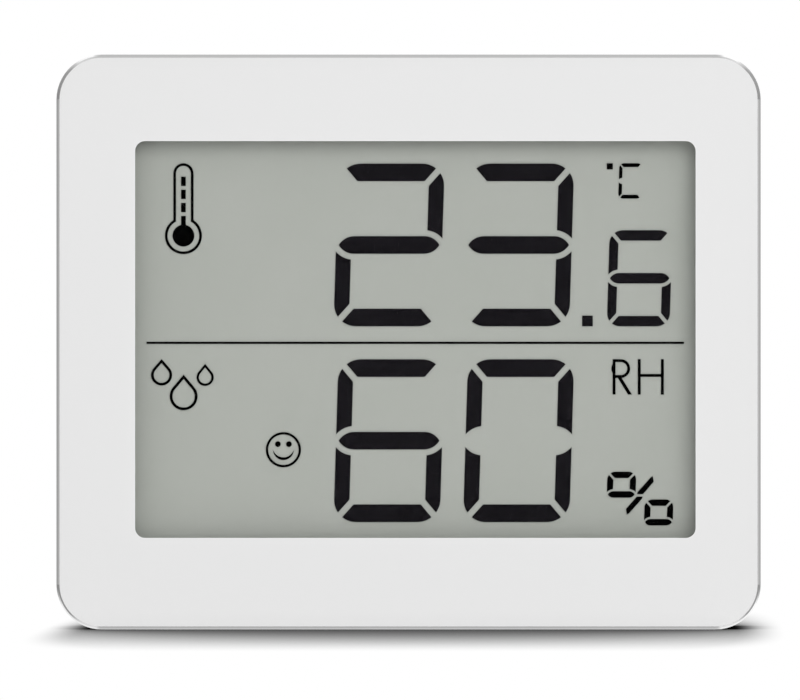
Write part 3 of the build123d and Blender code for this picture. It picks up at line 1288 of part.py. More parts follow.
# Battery door: a slab flush with the back and the top, with a runner at each side
with BuildPart() as battery_door:
    face = band(CELL_MIDDLE[0], DOOR_WIDTH / 2, DOOR_BOTTOM, HEIGHT, BACK_Y)
    extrude(face, amount=BACK_Y - RUNNER_BACK)
    top_edges = battery_door.edges().filter_by(Axis.X).group_by(Axis.Z)[-1]
    fillet(top_edges.sort_by(Axis.Y)[-1], BACK_FILLET)
    runner_width = RUNNER_HALF_WIDTH - RUNNER_INNER
    for side in (-1, 1):
        runner_x = CELL_MIDDLE[0] + side * (RUNNER_INNER + runner_width / 2)
        face = band(runner_x, runner_width / 2, DOOR_BOTTOM, HEIGHT, RUNNER_BACK)
        extrude(face, amount=DOOR_RUNNER_THICKNESS)
    face = band(CELL_MIDDLE[0], RUNNER_HALF_WIDTH, HEIGHT - DOOR_TOP_LIP, HEIGHT, RUNNER_BACK)
    extrude(face, amount=DOOR_RUNNER_THICKNESS)
    # Tab that hooks behind the cover below the door, clear of the cell as the door slides over it
    tab_range = (DOOR_BOTTOM - DOOR_TAB_REACH, DOOR_BOTTOM + DOOR_TAB_REACH)
    face = band(CELL_MIDDLE[0], DOOR_TAB_WIDTH / 2, *tab_range, RUNNER_BACK)
    extrude(face, amount=RUNNER_BACK - CELL_BACK - DOOR_CLEARANCE)
    # Ribbed thumb rest and an arrow that points the way it opens
    thumb_middle = (CELL_MIDDLE[0], DOOR_BOTTOM + THUMB_ABOVE_EDGE)
    with BuildSketch(facing(BACK_Y)):
        with Locations(thumb_middle):
            SlotOverall(THUMB_WIDTH, THUMB_HEIGHT)
            with GridLocations(0, THUMB_RIB_PITCH, 1, THUMB_RIB_COUNT):
                Rectangle(THUMB_WIDTH - THUMB_HEIGHT, THUMB_RIB_WIDTH, mode=Mode.SUBTRACT)
    extrude(amount=THUMB_DEPTH, mode=Mode.SUBTRACT)
    with BuildSketch(facing(BACK_Y)):
        arrow_bottom = thumb_middle[1] + ARROW_RISE
        with BuildLine():
            Polyline(
                (CELL_MIDDLE[0] - ARROW_WIDTH / 2, arrow_bottom),
                (CELL_MIDDLE[0] + ARROW_WIDTH / 2, arrow_bottom),
                (CELL_MIDDLE[0], arrow_bottom + ARROW_HEIGHT),
                close=True,
            )
        make_face()
    extrude(amount=ARROW_DEPTH, mode=Mode.SUBTRACT)
battery_door.part.label = "battery_door"

# Folding stand with its pins. The heel's far corner meets the top of the recess when it is open
with BuildPart() as stand:
    extrude(stand_outline(0, STAND_TIP_Z, STAND_PIVOT_Z + STAND_HEEL), amount=STAND_THICKNESS)
    fillet(stand.edges().filter_by(Axis.Y).group_by(Axis.Z)[0], STAND_TIP_CORNER)
    heel_edges = stand.edges().filter_by(Axis.X).group_by(Axis.Z)[-1]
    fillet(heel_edges.sort_by(Axis.Y)[0], STAND_HEEL_FILLET)
    with BuildSketch(facing(BACK_Y)):
        with Locations((0, STAND_TIP_Z + STAND_NOTCH_DEPTH - STAND_NOTCH_RADIUS)):
            Circle(STAND_NOTCH_RADIUS)
    extrude(amount=STAND_THICKNESS, mode=Mode.SUBTRACT)
    sunk_range = (STAND_TIP_Z + 2 * STAND_PANEL_BORDER, STAND_PIVOT_Z - STAND_PANEL_BORDER)
    sunk_panel = stand_outline(-STAND_PANEL_BORDER, *sunk_range)
    extrude(sunk_panel, amount=STAND_PANEL_DEPTH, mode=Mode.SUBTRACT)
    pin_end = STAND_TOP_WIDTH / 2 + PIN_REACH
    with BuildSketch(Plane.YZ.offset(-pin_end)):
        with Locations((STAND_AXIS_Y, STAND_PIVOT_Z)):
            Circle(PIN_RADIUS)
    extrude(amount=2 * pin_end)
stand.part.label = "stand"

SUB_PARTS = [
    front_panel.part,
    panel_film.part,
    panel_tape.part,
    front_frame.part,
    lcd_front_polariser.part,
    lcd_front_glass.part,
    lcd_temperature_digits.part,
    lcd_humidity_digits.part,
    lcd_symbols.part,
    lcd_seal.part,
    lcd_rear_glass.part,
    lcd_reflector.part,
    zebra_strip.part,
    lcd_cushions.part,
    circuit_board.part,
    board_screws.part,
    chip_blob.part,
    board_components.part,
    clock_crystal.part,
    humidity_sensor.part,
    sensor_cap.part,
    thermistor.part,
    switch_bodies.part,
    *moving_switch_parts.values(),
    cell_holder.part,
    cell_contact_positive.part,
    cell_contact_negative.part,
    coin_cell.part,
    rear_cover.part,
    case_screws.part,
    battery_door.part,
    stand.part,
]
os.makedirs("parts", exist_ok=True)
for sub_part in SUB_PARTS:
    export_step(sub_part, f"parts/{sub_part.label}.step")
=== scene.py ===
"""Looks of a slim desk thermo-hygrometer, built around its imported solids.

X runs to the right seen from the front, the front faces -Y and Z is up. Lengths are in metres.
"""

import json
import math

import bmesh
import bpy
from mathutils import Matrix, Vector


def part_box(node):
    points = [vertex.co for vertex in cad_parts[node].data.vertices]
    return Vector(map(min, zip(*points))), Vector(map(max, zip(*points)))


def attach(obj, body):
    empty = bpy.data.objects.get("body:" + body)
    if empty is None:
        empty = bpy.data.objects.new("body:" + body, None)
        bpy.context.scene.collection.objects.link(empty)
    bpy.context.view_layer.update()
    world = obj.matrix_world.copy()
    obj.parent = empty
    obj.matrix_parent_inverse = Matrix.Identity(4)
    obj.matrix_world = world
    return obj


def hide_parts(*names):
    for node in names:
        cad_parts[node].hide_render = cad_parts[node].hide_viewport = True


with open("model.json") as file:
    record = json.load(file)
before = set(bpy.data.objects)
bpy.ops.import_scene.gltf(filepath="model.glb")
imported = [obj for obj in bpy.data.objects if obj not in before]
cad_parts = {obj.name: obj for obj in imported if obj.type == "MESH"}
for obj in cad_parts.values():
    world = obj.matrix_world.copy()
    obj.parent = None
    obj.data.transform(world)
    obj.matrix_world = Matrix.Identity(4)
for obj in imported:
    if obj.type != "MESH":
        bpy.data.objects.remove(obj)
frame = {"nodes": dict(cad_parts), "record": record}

bl_info = {
    "name": "Desk thermo-hygrometer",
    "version": (1, 0, 0),
    "blender": (4, 5, 0),
    "location": "3D View > Sidebar > Hygrometer",
    "description": "Finishes a desk thermo-hygrometer and sets its stage",
    "category": "Object",
}

MM = 0.001
PANEL_LOW, PANEL_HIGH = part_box("front_panel")
GLASS_LOW, GLASS_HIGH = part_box("lcd_front_glass")
FINISHES = {row["slot"]: row for row in frame["record"]["materials"]}


def finish(slot):
    """The colour that the record gives a material slot, as red, green, blue and alpha."""
    return (*FINISHES[slot]["base_color"], 1.0)


def length(name, description, value):
    """A length property, its default given in millimetres."""
    return bpy.props.FloatProperty(
        name=name,
        description=description,
        default=value * MM,
        min=0.0,
        precision=6,
        subtype="DISTANCE",
        unit="LENGTH",
    )


def colour(name, description, value):
    """A colour property with its default."""
    return bpy.props.FloatVectorProperty(
        name=name,
        description=description,
        default=value,
        size=4,
        min=0.0,
        max=1.0,
        subtype="COLOR",
    )


def share(name, description, value, top=1.0):
    """A plain number property from 0 to top."""
    return bpy.props.FloatProperty(
        name=name, description=description, default=value, min=0.0, max=top
    )


class HygrometerSizes(bpy.types.PropertyGroup):
    """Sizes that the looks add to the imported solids."""

    case_corner: length("Case corner", "Radius of the case's corners seen from the front", 6.3)
    rim_width: length("Rim width", "Width of the clear panel's polished rim", 0.45)
    rim_outer: length("Outer rim", "Width of the rim's outer half, which catches the light", 0.22)
    window_side: length("Window from glass side", "From the display's side to the window", 3.0)
    window_top: length("Window from glass top", "From the display's top to the window", 2.2)
    window_foot: length("Window from glass foot", "From the display's foot to the window", 4.5)
    window_corner: length("Window corner", "Radius of the window's corners", 1.4)
    print_press: length("Print press", "How far the print is pressed into the clear panel", 0.02)
    wall_gap: length("Window wall", "How far the frame's opening stands back from the window", 0.5)
    grain: length("Mould grain", "Size of the fine grain of moulded surfaces", 0.16)
    case_head: length("Case screw head", "Radius of a case screw's head", 1.8)
    case_head_height: length("Case screw head height", "Height of a case screw's head", 1.3)
    case_shank: length("Case screw shank", "Radius of a case screw's shank", 1.1)
    board_head: length("Board screw head", "Radius of a board screw's head", 1.75)
    board_head_height: length("Board screw head height", "Height of a board screw's head", 1.0)
    board_shank: length("Board screw shank", "Radius of a board screw's shank", 0.95)
    head_rounding: length("Head rounding", "How far a screw's head is rounded at its edge", 0.45)
    recess_width: length("Recess width", "Width of each arm of the cross recess", 0.48)
    recess_reach: length("Recess reach", "From the end of an arm to the head's edge", 0.6)
    recess_depth: length("Recess depth", "Depth of the cross recess", 0.6)
    chip_length: length("Component length", "Length of a resistor or capacitor", 2.0)
    chip_width: length("Component width", "Width of a resistor or capacitor", 1.25)
    chip_terminal: length("Component terminal", "Length of each metal end", 0.35)
    camera_distance: length("Camera distance", "From the front panel to the camera", 900.0)
    view_width: length("View width", "Width of the picture at the front panel", 111.27)
    view_x: bpy.props.FloatProperty(
        name="View middle X",
        description="Sideways place of the picture's middle",
        default=-1.19 * MM,
        precision=6,
        unit="LENGTH",
    )
    view_z: length("View middle Z", "Height of the picture's middle", 38.89)
    shadow_reach: length("Shadow reach", "How far the soft shadow spreads over the floor", 66.0)
    shadow_core: length("Shadow core", "Half the width over which the shadow is full", 45.0)
    shadow_side: length("Shadow side", "Half the width at which the shadow ends", 52.0)
    shadow_end: length("Shadow end", "How far in front and behind the shadow ends", 84.0)


class HygrometerColours(bpy.types.PropertyGroup):
    """Colours and strengths of the finishes and of the light."""

    face_print: colour("Face print", "Print behind the clear panel", (0.818, 0.818, 0.818, 1.0))
    case_plastic: colour("Case plastic", "Moulded case, door and stand", finish("case_plastic"))
    display_grey: colour("Display grey", "Lit ground of the display", (0.446, 0.452, 0.437, 1.0))
    display_dark: colour("Display bars", "Dark bars of the digits", (0.0103, 0.0091, 0.0116, 1.0))
    display_symbol: colour("Display symbols", "Dark symbols and lines", (0.001, 0.001, 0.001, 1.0))
    button: colour("Buttons", "Moulded buttons", finish("button_plastic"))
    steel: colour("Steel", "Screws", (0.62, 0.61, 0.59, 1.0))
    window_gloss: share("Window gloss", "Share of the panel's gloss that the window keeps", 0.02)
    world_light: share("Surrounding light", "Even light from all round", 0.62, 2.0)
    floor_light: share("Floor light", "How strongly the white floor sends light back", 0.8, 2.0)
    key_light: share("Main light", "Power of the large lamp in front, in watts", 4.2, 100.0)
    back_light: share("Back light", "Power of the lamp behind, in watts", 3.0, 100.0)
    top_light: share("Top light", "Power of the lamp overhead, in watts", 1.3, 100.0)


class Graph:
    """Puts nodes into a tree and joins them."""

    def __init__(self, tree):
        self.tree = tree

    def add(self, kind, inputs=None, output=0, **settings):
        """One more node with its settings and inputs. Returns one of its outputs."""
        node = self.tree.nodes.new(kind)
        for name, value in settings.items():
            setattr(node, name, value)
        for key, value in (inputs or {}).items():
            if isinstance(value, bpy.types.NodeSocket):
                self.tree.links.new(value, node.inputs[key])
            else:
                node.inputs[key].default_value = value
        return node.outputs[output] if node.outputs else node

    def math(self, operation, *values, clamp=False):
        return self.add(
            "ShaderNodeMath", dict(enumerate(values)), operation=operation, use_clamp=clamp
        )

    def vector(self, operation, *values, output=0):
        return self.add(
            "ShaderNodeVectorMath", dict(enumerate(values)), output, operation=operation
        )

    def blend(self, factor, first, second):
        """A colour between two colours."""
        return self.add("ShaderNodeMix", {0: factor, 6: first, 7: second}, 2, data_type="RGBA")

    def ramp(self, value, low, high):
        """0 below low, 1 above high and smooth between."""
        return self.add(
            "ShaderNodeMapRange",
            {0: value, 1: low, 2: high, 3: 0.0, 4: 1.0},
            interpolation_type="SMOOTHSTEP",
        )

    def levels(self, value, stops):
        """A grey that follows a row of (place, level) stops as the value goes from 0 to 1."""
        grey = self.add("ShaderNodeValToRGB", {0: value})
        elements = grey.node.color_ramp.elements
        while len(elements) < len(stops):
            elements.new(1.0)
        for element, (place, level) in zip(elements, stops):
            element.position = place
            element.color = (level, level, level, 1.0)
        return grey

    def place(self):
        """Each point's place on the object."""
        return self.add("ShaderNodeTexCoord", output=3)

    def noise(self, place, size, detail=2.0):
        """Cloudy noise with blots of about one size."""
        return self.add(
            "ShaderNodeTexNoise", {"Vector": place, "Scale": 1.0 / size, "Detail": detail}
        )

    def bump(self, height, depth, **more):
        """Small relief from a height between 0 and 1."""
        return self.add("ShaderNodeBump", {"Height": height, "Distance": depth, **more})

    def flat_normal(self):
        """The true way each face looks, with no smoothing across its edges."""
        return self.add("ShaderNodeNewGeometry", output=3)

    def surface(self, shader):
        self.add("ShaderNodeOutputMaterial", {"Surface": shader})

    def outline_distance(self, low, high, corner):
        """How far a point lies outside a rounded rectangle seen from the front, below 0 inside.

        Also returns how much the nearest edge faces up (1), sideways (0) or down (-1).
        """
        middle = ((low[0] + high[0]) / 2, 0, (low[1] + high[1]) / 2)
        half = ((high[0] - low[0]) / 2 - corner, 1.0, (high[1] - low[1]) / 2 - corner)
        offset = self.vector("SUBTRACT", self.place(), middle)
        beyond = self.vector("SUBTRACT", self.vector("ABSOLUTE", offset), half)
        parts = self.add("ShaderNodeSeparateXYZ", {0: beyond}, 0).node
        outer = self.vector("MAXIMUM", beyond, (0, 0, 0))
        span = self.vector("LENGTH", outer, output=1)
        inner = self.math("MINIMUM", self.math("MAXIMUM", parts.outputs[0], parts.outputs[2]), 0.0)
        distance = self.math("SUBTRACT", self.math("ADD", span, inner), corner)
        height = self.add("ShaderNodeSeparateXYZ", {0: outer}, 2)
        side = self.math("SIGN", self.add("ShaderNodeSeparateXYZ", {0: offset}, 2))
        rise = self.math("DIVIDE", height, self.math("MAXIMUM", span, 1e-7))
        return distance, self.math("MULTIPLY", rise, side)


def new_graph(name):
    """A material with an empty tree, and the graph that fills it."""
    material = bpy.data.materials.new(name)
    material.use_nodes = True
    material.node_tree.nodes.clear()
    return material, Graph(material.node_tree)


def mottled(graph, base, size, amount):
    """A colour that drifts a little lighter and darker over the surface."""
    drift = graph.noise(graph.place(), size, 3.0)
    darker = tuple(v * (1 - amount) for v in base[:3]) + (1.0,)
    lighter = tuple(min(1.0, v * (1 + amount)) for v in base[:3]) + (1.0,)
    return graph.blend(drift, darker, lighter)


def moulded(name, base, roughness=0.45, grain=0.16 * MM, depth=0.012 * MM, mottle=0.015):
    """Moulded plastic: a fine even grain from the tool and a slight drift of colour."""
    material, graph = new_graph(name)
    relief = graph.bump(graph.noise(graph.place(), grain, 3.0), depth)
    graph.surface(
        graph.add(
            "ShaderNodeBsdfPrincipled",
            {
                "Base Color": mottled(graph, base, 6 * MM, mottle),
                "Roughness": roughness,
                "Normal": relief,
            },
        )
    )
    return material


def metal(name, base, roughness=0.3, stretch=(1, 1, 1), size=0.2 * MM, depth=0.004 * MM):
    """Metal with fine marks that run along the way that the stretch is smallest."""
    material, graph = new_graph(name)
    place = graph.add("ShaderNodeMapping", {"Vector": graph.place(), "Scale": stretch})
    marks = graph.noise(place, size, 4.0)
    worn = graph.add("ShaderNodeMapRange", {0: marks, 3: roughness * 0.7, 4: roughness * 1.4})
    graph.surface(
        graph.add(
            "ShaderNodeBsdfPrincipled",
            {
                "Base Color": mottled(graph, base, 1.5 * MM, 0.04),
                "Metallic": 1.0,
                "Roughness": worn,
                "Normal": graph.bump(marks, depth),
            },
        )
    )
    return material


def screw_finish(base, recess_depth):
    """Screw steel, with painted shade that darkens the cross recess and the gap round the head."""
    material = metal("screw_steel", base, 0.3, (1, 1, 1), 0.12 * MM)
    graph = Graph(material.node_tree)
    shader = next(n for n in material.node_tree.nodes if n.type == "BSDF_PRINCIPLED")
    clean = shader.inputs["Base Color"].links[0].from_socket
    # Painted shade: the steel turns near black where nearby surfaces hide the light, in the recess
    # and round the head.
    openness = graph.add("ShaderNodeAmbientOcclusion", {"Distance": recess_depth * 1.5}, 1)
    painted_recess_shade = graph.blend(graph.ramp(openness, 0.3, 0.85), (0.02, 0.02, 0.02, 1), clean)
    material.node_tree.links.new(painted_recess_shade, shader.inputs["Base Color"])
    return material


def dress(node, material):
    """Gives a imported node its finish."""
    slots = frame["nodes"][node].data.materials
    slots.clear()
    slots.append(material)


def window_corners(sizes):
    """Lowest and highest corner of the window seen from the front."""
    low = (GLASS_LOW.x + sizes.window_side, GLASS_LOW.z + sizes.window_foot)
    high = (GLASS_HIGH.x - sizes.window_side, GLASS_HIGH.z - sizes.window_top)
    return low, high


def facing_share(graph, head_on):
    """How much of the light a smooth clear surface mirrors: little head on, all at a glance."""
    glance = graph.add("ShaderNodeLayerWeight", {"Blend": 0.5, "Normal": graph.flat_normal()}, 1)
    steep = graph.math("POWER", glance, 5.0)
    return graph.math("MULTIPLY_ADD", steep, 1.0 - head_on, head_on)


def seen_directly(graph):
    """1 for rays that show a surface to the camera, a mirror or through glass, else 0."""
    path = graph.add("ShaderNodeLightPath").node.outputs
    mirrored = graph.math("MAXIMUM", path["Is Glossy Ray"], path["Is Transmission Ray"])
    return graph.math("MAXIMUM", path["Is Camera Ray"], mirrored)


# How light the rim's two halves are painted, as the edge turns from facing down (0) by its sides
# (0.5)
# to facing up (1): painted highlights and shade in place of the polished edge's reflections.
RIM_OUTER_PAINTED = [(0.0, 0.62), (0.004, 1.0), (0.27, 1.0), (0.38, 0.5), (0.46, 0.27), (0.49, 0.27)]
RIM_OUTER_PAINTED += [(0.5, 0.37), (0.51, 0.27), (0.8, 0.33), (0.9, 0.6), (0.94, 1.0), (0.99, 1.0)]
RIM_OUTER_PAINTED += [(1.0, 0.49)]
RIM_INNER_PAINTED = [(0.0, 0.5), (0.004, 0.85), (0.06, 0.8), (0.16, 0.3), (0.49, 0.27), (0.5, 0.47)]
RIM_INNER_PAINTED += [(0.51, 0.27), (0.85, 0.33), (0.93, 0.7), (0.99, 0.6), (1.0, 0.5)]
RIM_SOFT = 0.03 * MM
WINDOW_SOFT = 0.05 * MM
BACK_FACE_DEPTH = 0.05 * MM
HEAD_ON_MIRROR = 0.04


def panel_finish(sizes, colours):
    """Clear acrylic: see-through, glossy in front, and grey along its polished rim, where
    highlights and shade are painted in place of its reflections.
    """
    material, graph = new_graph("clear_acrylic")
    low, high = (PANEL_LOW.x, PANEL_LOW.z), (PANEL_HIGH.x, PANEL_HIGH.z)
    to_edge, rise = graph.outline_distance(low, high, sizes.case_corner)
    around = graph.math("MULTIPLY_ADD", rise, 0.5, 0.5)
    at_edge = graph.ramp(to_edge, -sizes.rim_outer - RIM_SOFT, -sizes.rim_outer + RIM_SOFT)
    # The rim's grey is painted highlights and shade, set by which way the edge faces.
    grey = graph.blend(at_edge, graph.levels(around, RIM_INNER_PAINTED), graph.levels(around, RIM_OUTER_PAINTED))
    rim = graph.ramp(to_edge, -sizes.rim_width - RIM_SOFT, -sizes.rim_width + RIM_SOFT)
    to_window, _ = graph.outline_distance(*window_corners(sizes), sizes.window_corner)
    off_window = graph.ramp(to_window, -WINDOW_SOFT, WINDOW_SOFT)
    depth = graph.add("ShaderNodeSeparateXYZ", {0: graph.place()}, 1)
    ahead = graph.math("LESS_THAN", depth, PANEL_HIGH.y - BACK_FACE_DEPTH)
    painted_rim_share = graph.math("MULTIPLY", graph.math("MULTIPLY", rim, ahead), seen_directly(graph))
    least = colours.window_gloss
    keeps = graph.math("MULTIPLY_ADD", off_window, 1.0 - least, least)
    shine = graph.math("MULTIPLY", facing_share(graph, HEAD_ON_MIRROR), keeps)
    shine = graph.math("MULTIPLY", shine, ahead)
    waves = graph.noise(graph.place(), 25 * MM, 1.0)
    wavy = graph.bump(waves, 0.02 * MM, Normal=graph.flat_normal())
    clear = graph.add("ShaderNodeBsdfTransparent", {"Color": (1, 1, 1, 1)})
    # Painted light: the rim shows this painted grey to direct rays only, in place of its real
    # reflections.
    rim_painted_light = graph.add("ShaderNodeBsdfDiffuse", {"Color": grey, "Normal": graph.flat_normal()})
    body = graph.add("ShaderNodeMixShader", {0: painted_rim_share, 1: clear, 2: rim_painted_light})
    mirror = graph.add("ShaderNodeBsdfGlossy", {"Roughness": 0.03, "Normal": wavy})
    graph.surface(graph.add("ShaderNodeMixShader", {0: shine, 1: body, 2: mirror}))
    return material


def print_finish(sizes, colours):
    """The matt print behind the panel, with a thin lighter line painted round the window as a
    highlight on its edge.
    """
    material, graph = new_graph("face_print")
    to_window, _ = graph.outline_distance(*window_corners(sizes), sizes.window_corner)
    away = graph.ramp(to_window, 0.08 * MM, 0.2 * MM)
    base = mottled(graph, colours.face_print, 9 * MM, 0.002)
    # A painted highlight: the print is lighter in a thin line along the window's edge.
    painted_edge_highlight = tuple(min(1.0, v * 1.07) for v in colours.face_print[:3]) + (1.0,)
    grain = graph.bump(graph.noise(graph.place(), 0.08 * MM), 0.002 * MM)
    graph.surface(
        graph.add(
            "ShaderNodeBsdfPrincipled",
            {"Base Color": graph.blend(away, painted_edge_highlight, base), "Roughness": 0.6, "Normal": grain},
        )
    )
    return material


def frame_finish(sizes, colours):
    """The case plastic, painted near black on the walls inside the window as painted shade that
    deepens the shading along the display's edges.
    """
    material, graph = new_graph("frame_plastic")
    to_window, _ = graph.outline_distance(*window_corners(sizes), sizes.window_corner)
    outside = graph.ramp(to_window, sizes.wall_gap, sizes.wall_gap + 0.05 * MM)
    base = mottled(graph, colours.case_plastic, 6 * MM, 0.015)
    grain = graph.bump(graph.noise(graph.place(), sizes.grain, 3.0), 0.012 * MM)
    graph.surface(
        graph.add(
            "ShaderNodeBsdfPrincipled",
            {
                # Painted shade: the walls round the window are near black so that the display's
                # edges lie darker.
                "Base Color": graph.blend(outside, (0.03, 0.03, 0.03, 1), base),
                "Roughness": 0.45,
                "Normal": grain,
            },
        )
    )
    return material


SHEET_MIRROR = 0.0002


def clear_layer(name, tint):
    """A clear sheet of the display, with a faint haze of its own."""
    material, graph = new_graph(name)
    haze = graph.noise(graph.place(), 12 * MM, 2.0)
    paler = tuple(min(1.0, v * 1.01) for v in tint[:3]) + (1.0,)
    clear = graph.add("ShaderNodeBsdfTransparent", {"Color": graph.blend(haze, tint, paler)})
    mirror = graph.add("ShaderNodeBsdfGlossy", {"Roughness": 0.05})
    graph.surface(graph.add("ShaderNodeMixShader", {0: SHEET_MIRROR, 1: clear, 2: mirror}))
    return material


def display_ground(colours):
    """The display's grey: a fine sparkle of the reflecting foil seen through its polariser."""
    material, graph = new_graph("display_ground")
    sparkle = graph.noise(graph.place(), 0.18 * MM, 2.0)
    base = colours.display_grey
    darker = tuple(v * 0.985 for v in base[:3]) + (1.0,)
    lighter = tuple(v * 1.015 for v in base[:3]) + (1.0,)
    graph.surface(
        graph.add(
            "ShaderNodeBsdfPrincipled",
            {
                "Base Color": graph.blend(sparkle, darker, lighter),
                "Roughness": 0.7,
                "Specular IOR Level": 0.0,
            },
        )
    )
    return material


def display_bar(name, base):
    """Dark liquid crystal, a little uneven over each bar."""
    material, graph = new_graph(name)
    graph.surface(
        graph.add(
            "ShaderNodeBsdfPrincipled",
            {
                "Base Color": mottled(graph, base, 1.2 * MM, 0.06),
                "Roughness": 0.6,
                "Specular IOR Level": 0.0,
            },
        )
    )
    return material


def banded(name, first, second, pitch):
    """Narrow upright bands of two colours, such as a layered strip or comb tracks."""
    material, graph = new_graph(name)
    bands = graph.add(
        "ShaderNodeTexWave",
        {"Vector": graph.place(), "Scale": math.pi / (10 * pitch), "Distortion": 0.0},
        1,
        bands_direction="X",
    )
    sharp = graph.ramp(bands, 0.4, 0.6)
    graph.surface(
        graph.add(
            "ShaderNodeBsdfPrincipled",
            {
                "Base Color": graph.blend(sharp, first, second),
                "Roughness": 0.5,
                "Normal": graph.bump(sharp, 0.01 * MM),
            },
        )
    )
    return material


def foam_finish():
    """Open foam rubber with round pores."""
    material, graph = new_graph("foam")
    pores = graph.add("ShaderNodeTexVoronoi", {"Vector": graph.place(), "Scale": 1 / (0.35 * MM)})
    graph.surface(
        graph.add(
            "ShaderNodeBsdfPrincipled",
            {
                # Painted shade: each pore is darker towards its middle, where its hollow lies.
                "Base Color": graph.blend(pores, (0.02, 0.02, 0.022, 1), (0.09, 0.09, 0.095, 1)),
                "Roughness": 0.95,
                "Normal": graph.bump(pores, 0.15 * MM),
            },
        )
    )
    return material


def board_finish():
    """Green solder lacquer over tracks, which stand a little proud of the laminate."""
    material, graph = new_graph("board_laminate")
    cells = graph.add(
        "ShaderNodeTexBrick",
        {
            "Vector": graph.add(
                "ShaderNodeMapping",
                {"Vector": graph.place(), "Rotation": (math.pi / 2, 0, 0)},
            ),
            "Scale": 1.0,
            "Brick Width": 5.2 * MM,
            "Row Height": 1.3 * MM,
            "Mortar Size": 0.13 * MM,
            "Color1": (0.012, 0.09, 0.035, 1),
            "Color2": (0.014, 0.105, 0.04, 1),
            "Mortar": (0.03, 0.19, 0.07, 1),
        },
    )
    tracks = cells.node.outputs[1]
    weave = graph.noise(graph.place(), 0.3 * MM, 1.0)
    graph.surface(
        graph.add(
            "ShaderNodeBsdfPrincipled",
            {
                "Base Color": graph.blend(
                    graph.math("MULTIPLY", weave, 0.3), cells, (0.05, 0.16, 0.07, 1)
                ),
                "Roughness": 0.35,
                "Normal": graph.bump(tracks, 0.03 * MM),
            },
        )
    )
    return material


def cell_finish(low, high):
    """Bright can of a coin cell, turned in rings, with a stamped plus sign on its back."""
    material, graph = new_graph("cell_can")
    middle = ((low.x + high.x) / 2, 0, (low.z + high.z) / 2)
    offset = graph.vector("SUBTRACT", graph.place(), middle)
    flat = graph.vector("MULTIPLY", offset, (1, 0, 1))
    radius = graph.vector("LENGTH", flat, output=1)
    rings = graph.math("SINE", graph.math("MULTIPLY", radius, 2 * math.pi / (0.12 * MM)))
    marks = graph.math("MULTIPLY_ADD", rings, 0.5, 0.5)
    arms = graph.vector("ABSOLUTE", graph.vector("SUBTRACT", flat, (0, 0, 5.5 * MM)))
    parts = graph.add("ShaderNodeSeparateXYZ", {0: arms}, 0).node
    short = graph.math("MINIMUM", parts.outputs[0], parts.outputs[2])
    long = graph.math("MAXIMUM", parts.outputs[0], parts.outputs[2])
    stamped = graph.math(
        "MULTIPLY",
        graph.math("LESS_THAN", short, 0.22 * MM),
        graph.math("LESS_THAN", long, 1.2 * MM),
    )
    relief = graph.math("SUBTRACT", graph.math("MULTIPLY", marks, 0.04), stamped)
    graph.surface(
        graph.add(
            "ShaderNodeBsdfPrincipled",
            {
                "Base Color": graph.blend(marks, (0.42, 0.41, 0.4, 1), (0.56, 0.56, 0.55, 1)),
                "Metallic": 1.0,
                "Roughness": 0.28,
                "Normal": graph.bump(relief, 0.06 * MM),
            },
        )
    )
    return material


def new_tree(name, sockets):
    """A tree of geometry nodes with named inputs, and its group input and output."""
    tree = bpy.data.node_groups.new(name, "GeometryNodeTree")
    tree.is_modifier = True
    tree.interface.new_socket("Geometry", in_out="OUTPUT", socket_type="NodeSocketGeometry")
    for label, kind in sockets:
        tree.interface.new_socket(label, in_out="INPUT", socket_type=kind)
    source = tree.nodes.new("NodeGroupInput")
    return tree, Graph(tree), source.outputs


def grown(name, tree, values, points):
    """The plain mesh that a tree makes from some points, as a new object with no modifier."""
    cloud = bpy.data.meshes.new(name + "_points")
    cloud.from_pydata(points, [], [])
    host = bpy.data.objects.new(name + "_host", cloud)
    bpy.context.scene.collection.objects.link(host)
    modifier = host.modifiers.new(name, "NODES")
    modifier.node_group = tree
    for item in tree.interface.items_tree:
        if item.item_type == "SOCKET" and item.in_out == "INPUT" and item.name in values:
            modifier[item.identifier] = values[item.name]
    bpy.context.view_layer.update()
    evaluated = host.evaluated_get(bpy.context.evaluated_depsgraph_get())
    mesh = bpy.data.meshes.new_from_object(evaluated)
    bpy.data.objects.remove(host)
    if not mesh.polygons:
        raise RuntimeError(f"{name} came out with no faces")
    shape = bmesh.new()
    shape.from_mesh(mesh)
    bmesh.ops.recalc_face_normals(shape, faces=shape.faces)
    shape.to_mesh(mesh)
    shape.free()
    mesh.name = name
    piece = bpy.data.objects.new(name, mesh)
    bpy.context.scene.collection.objects.link(piece)
    return piece


RINGS = 9
SIDES = 40
SCREW_SEAM = 0.002 * MM
EDGE_STEP = 0.3
TIP_RADIUS = 0.45
RECESS_TAPER = 0.45


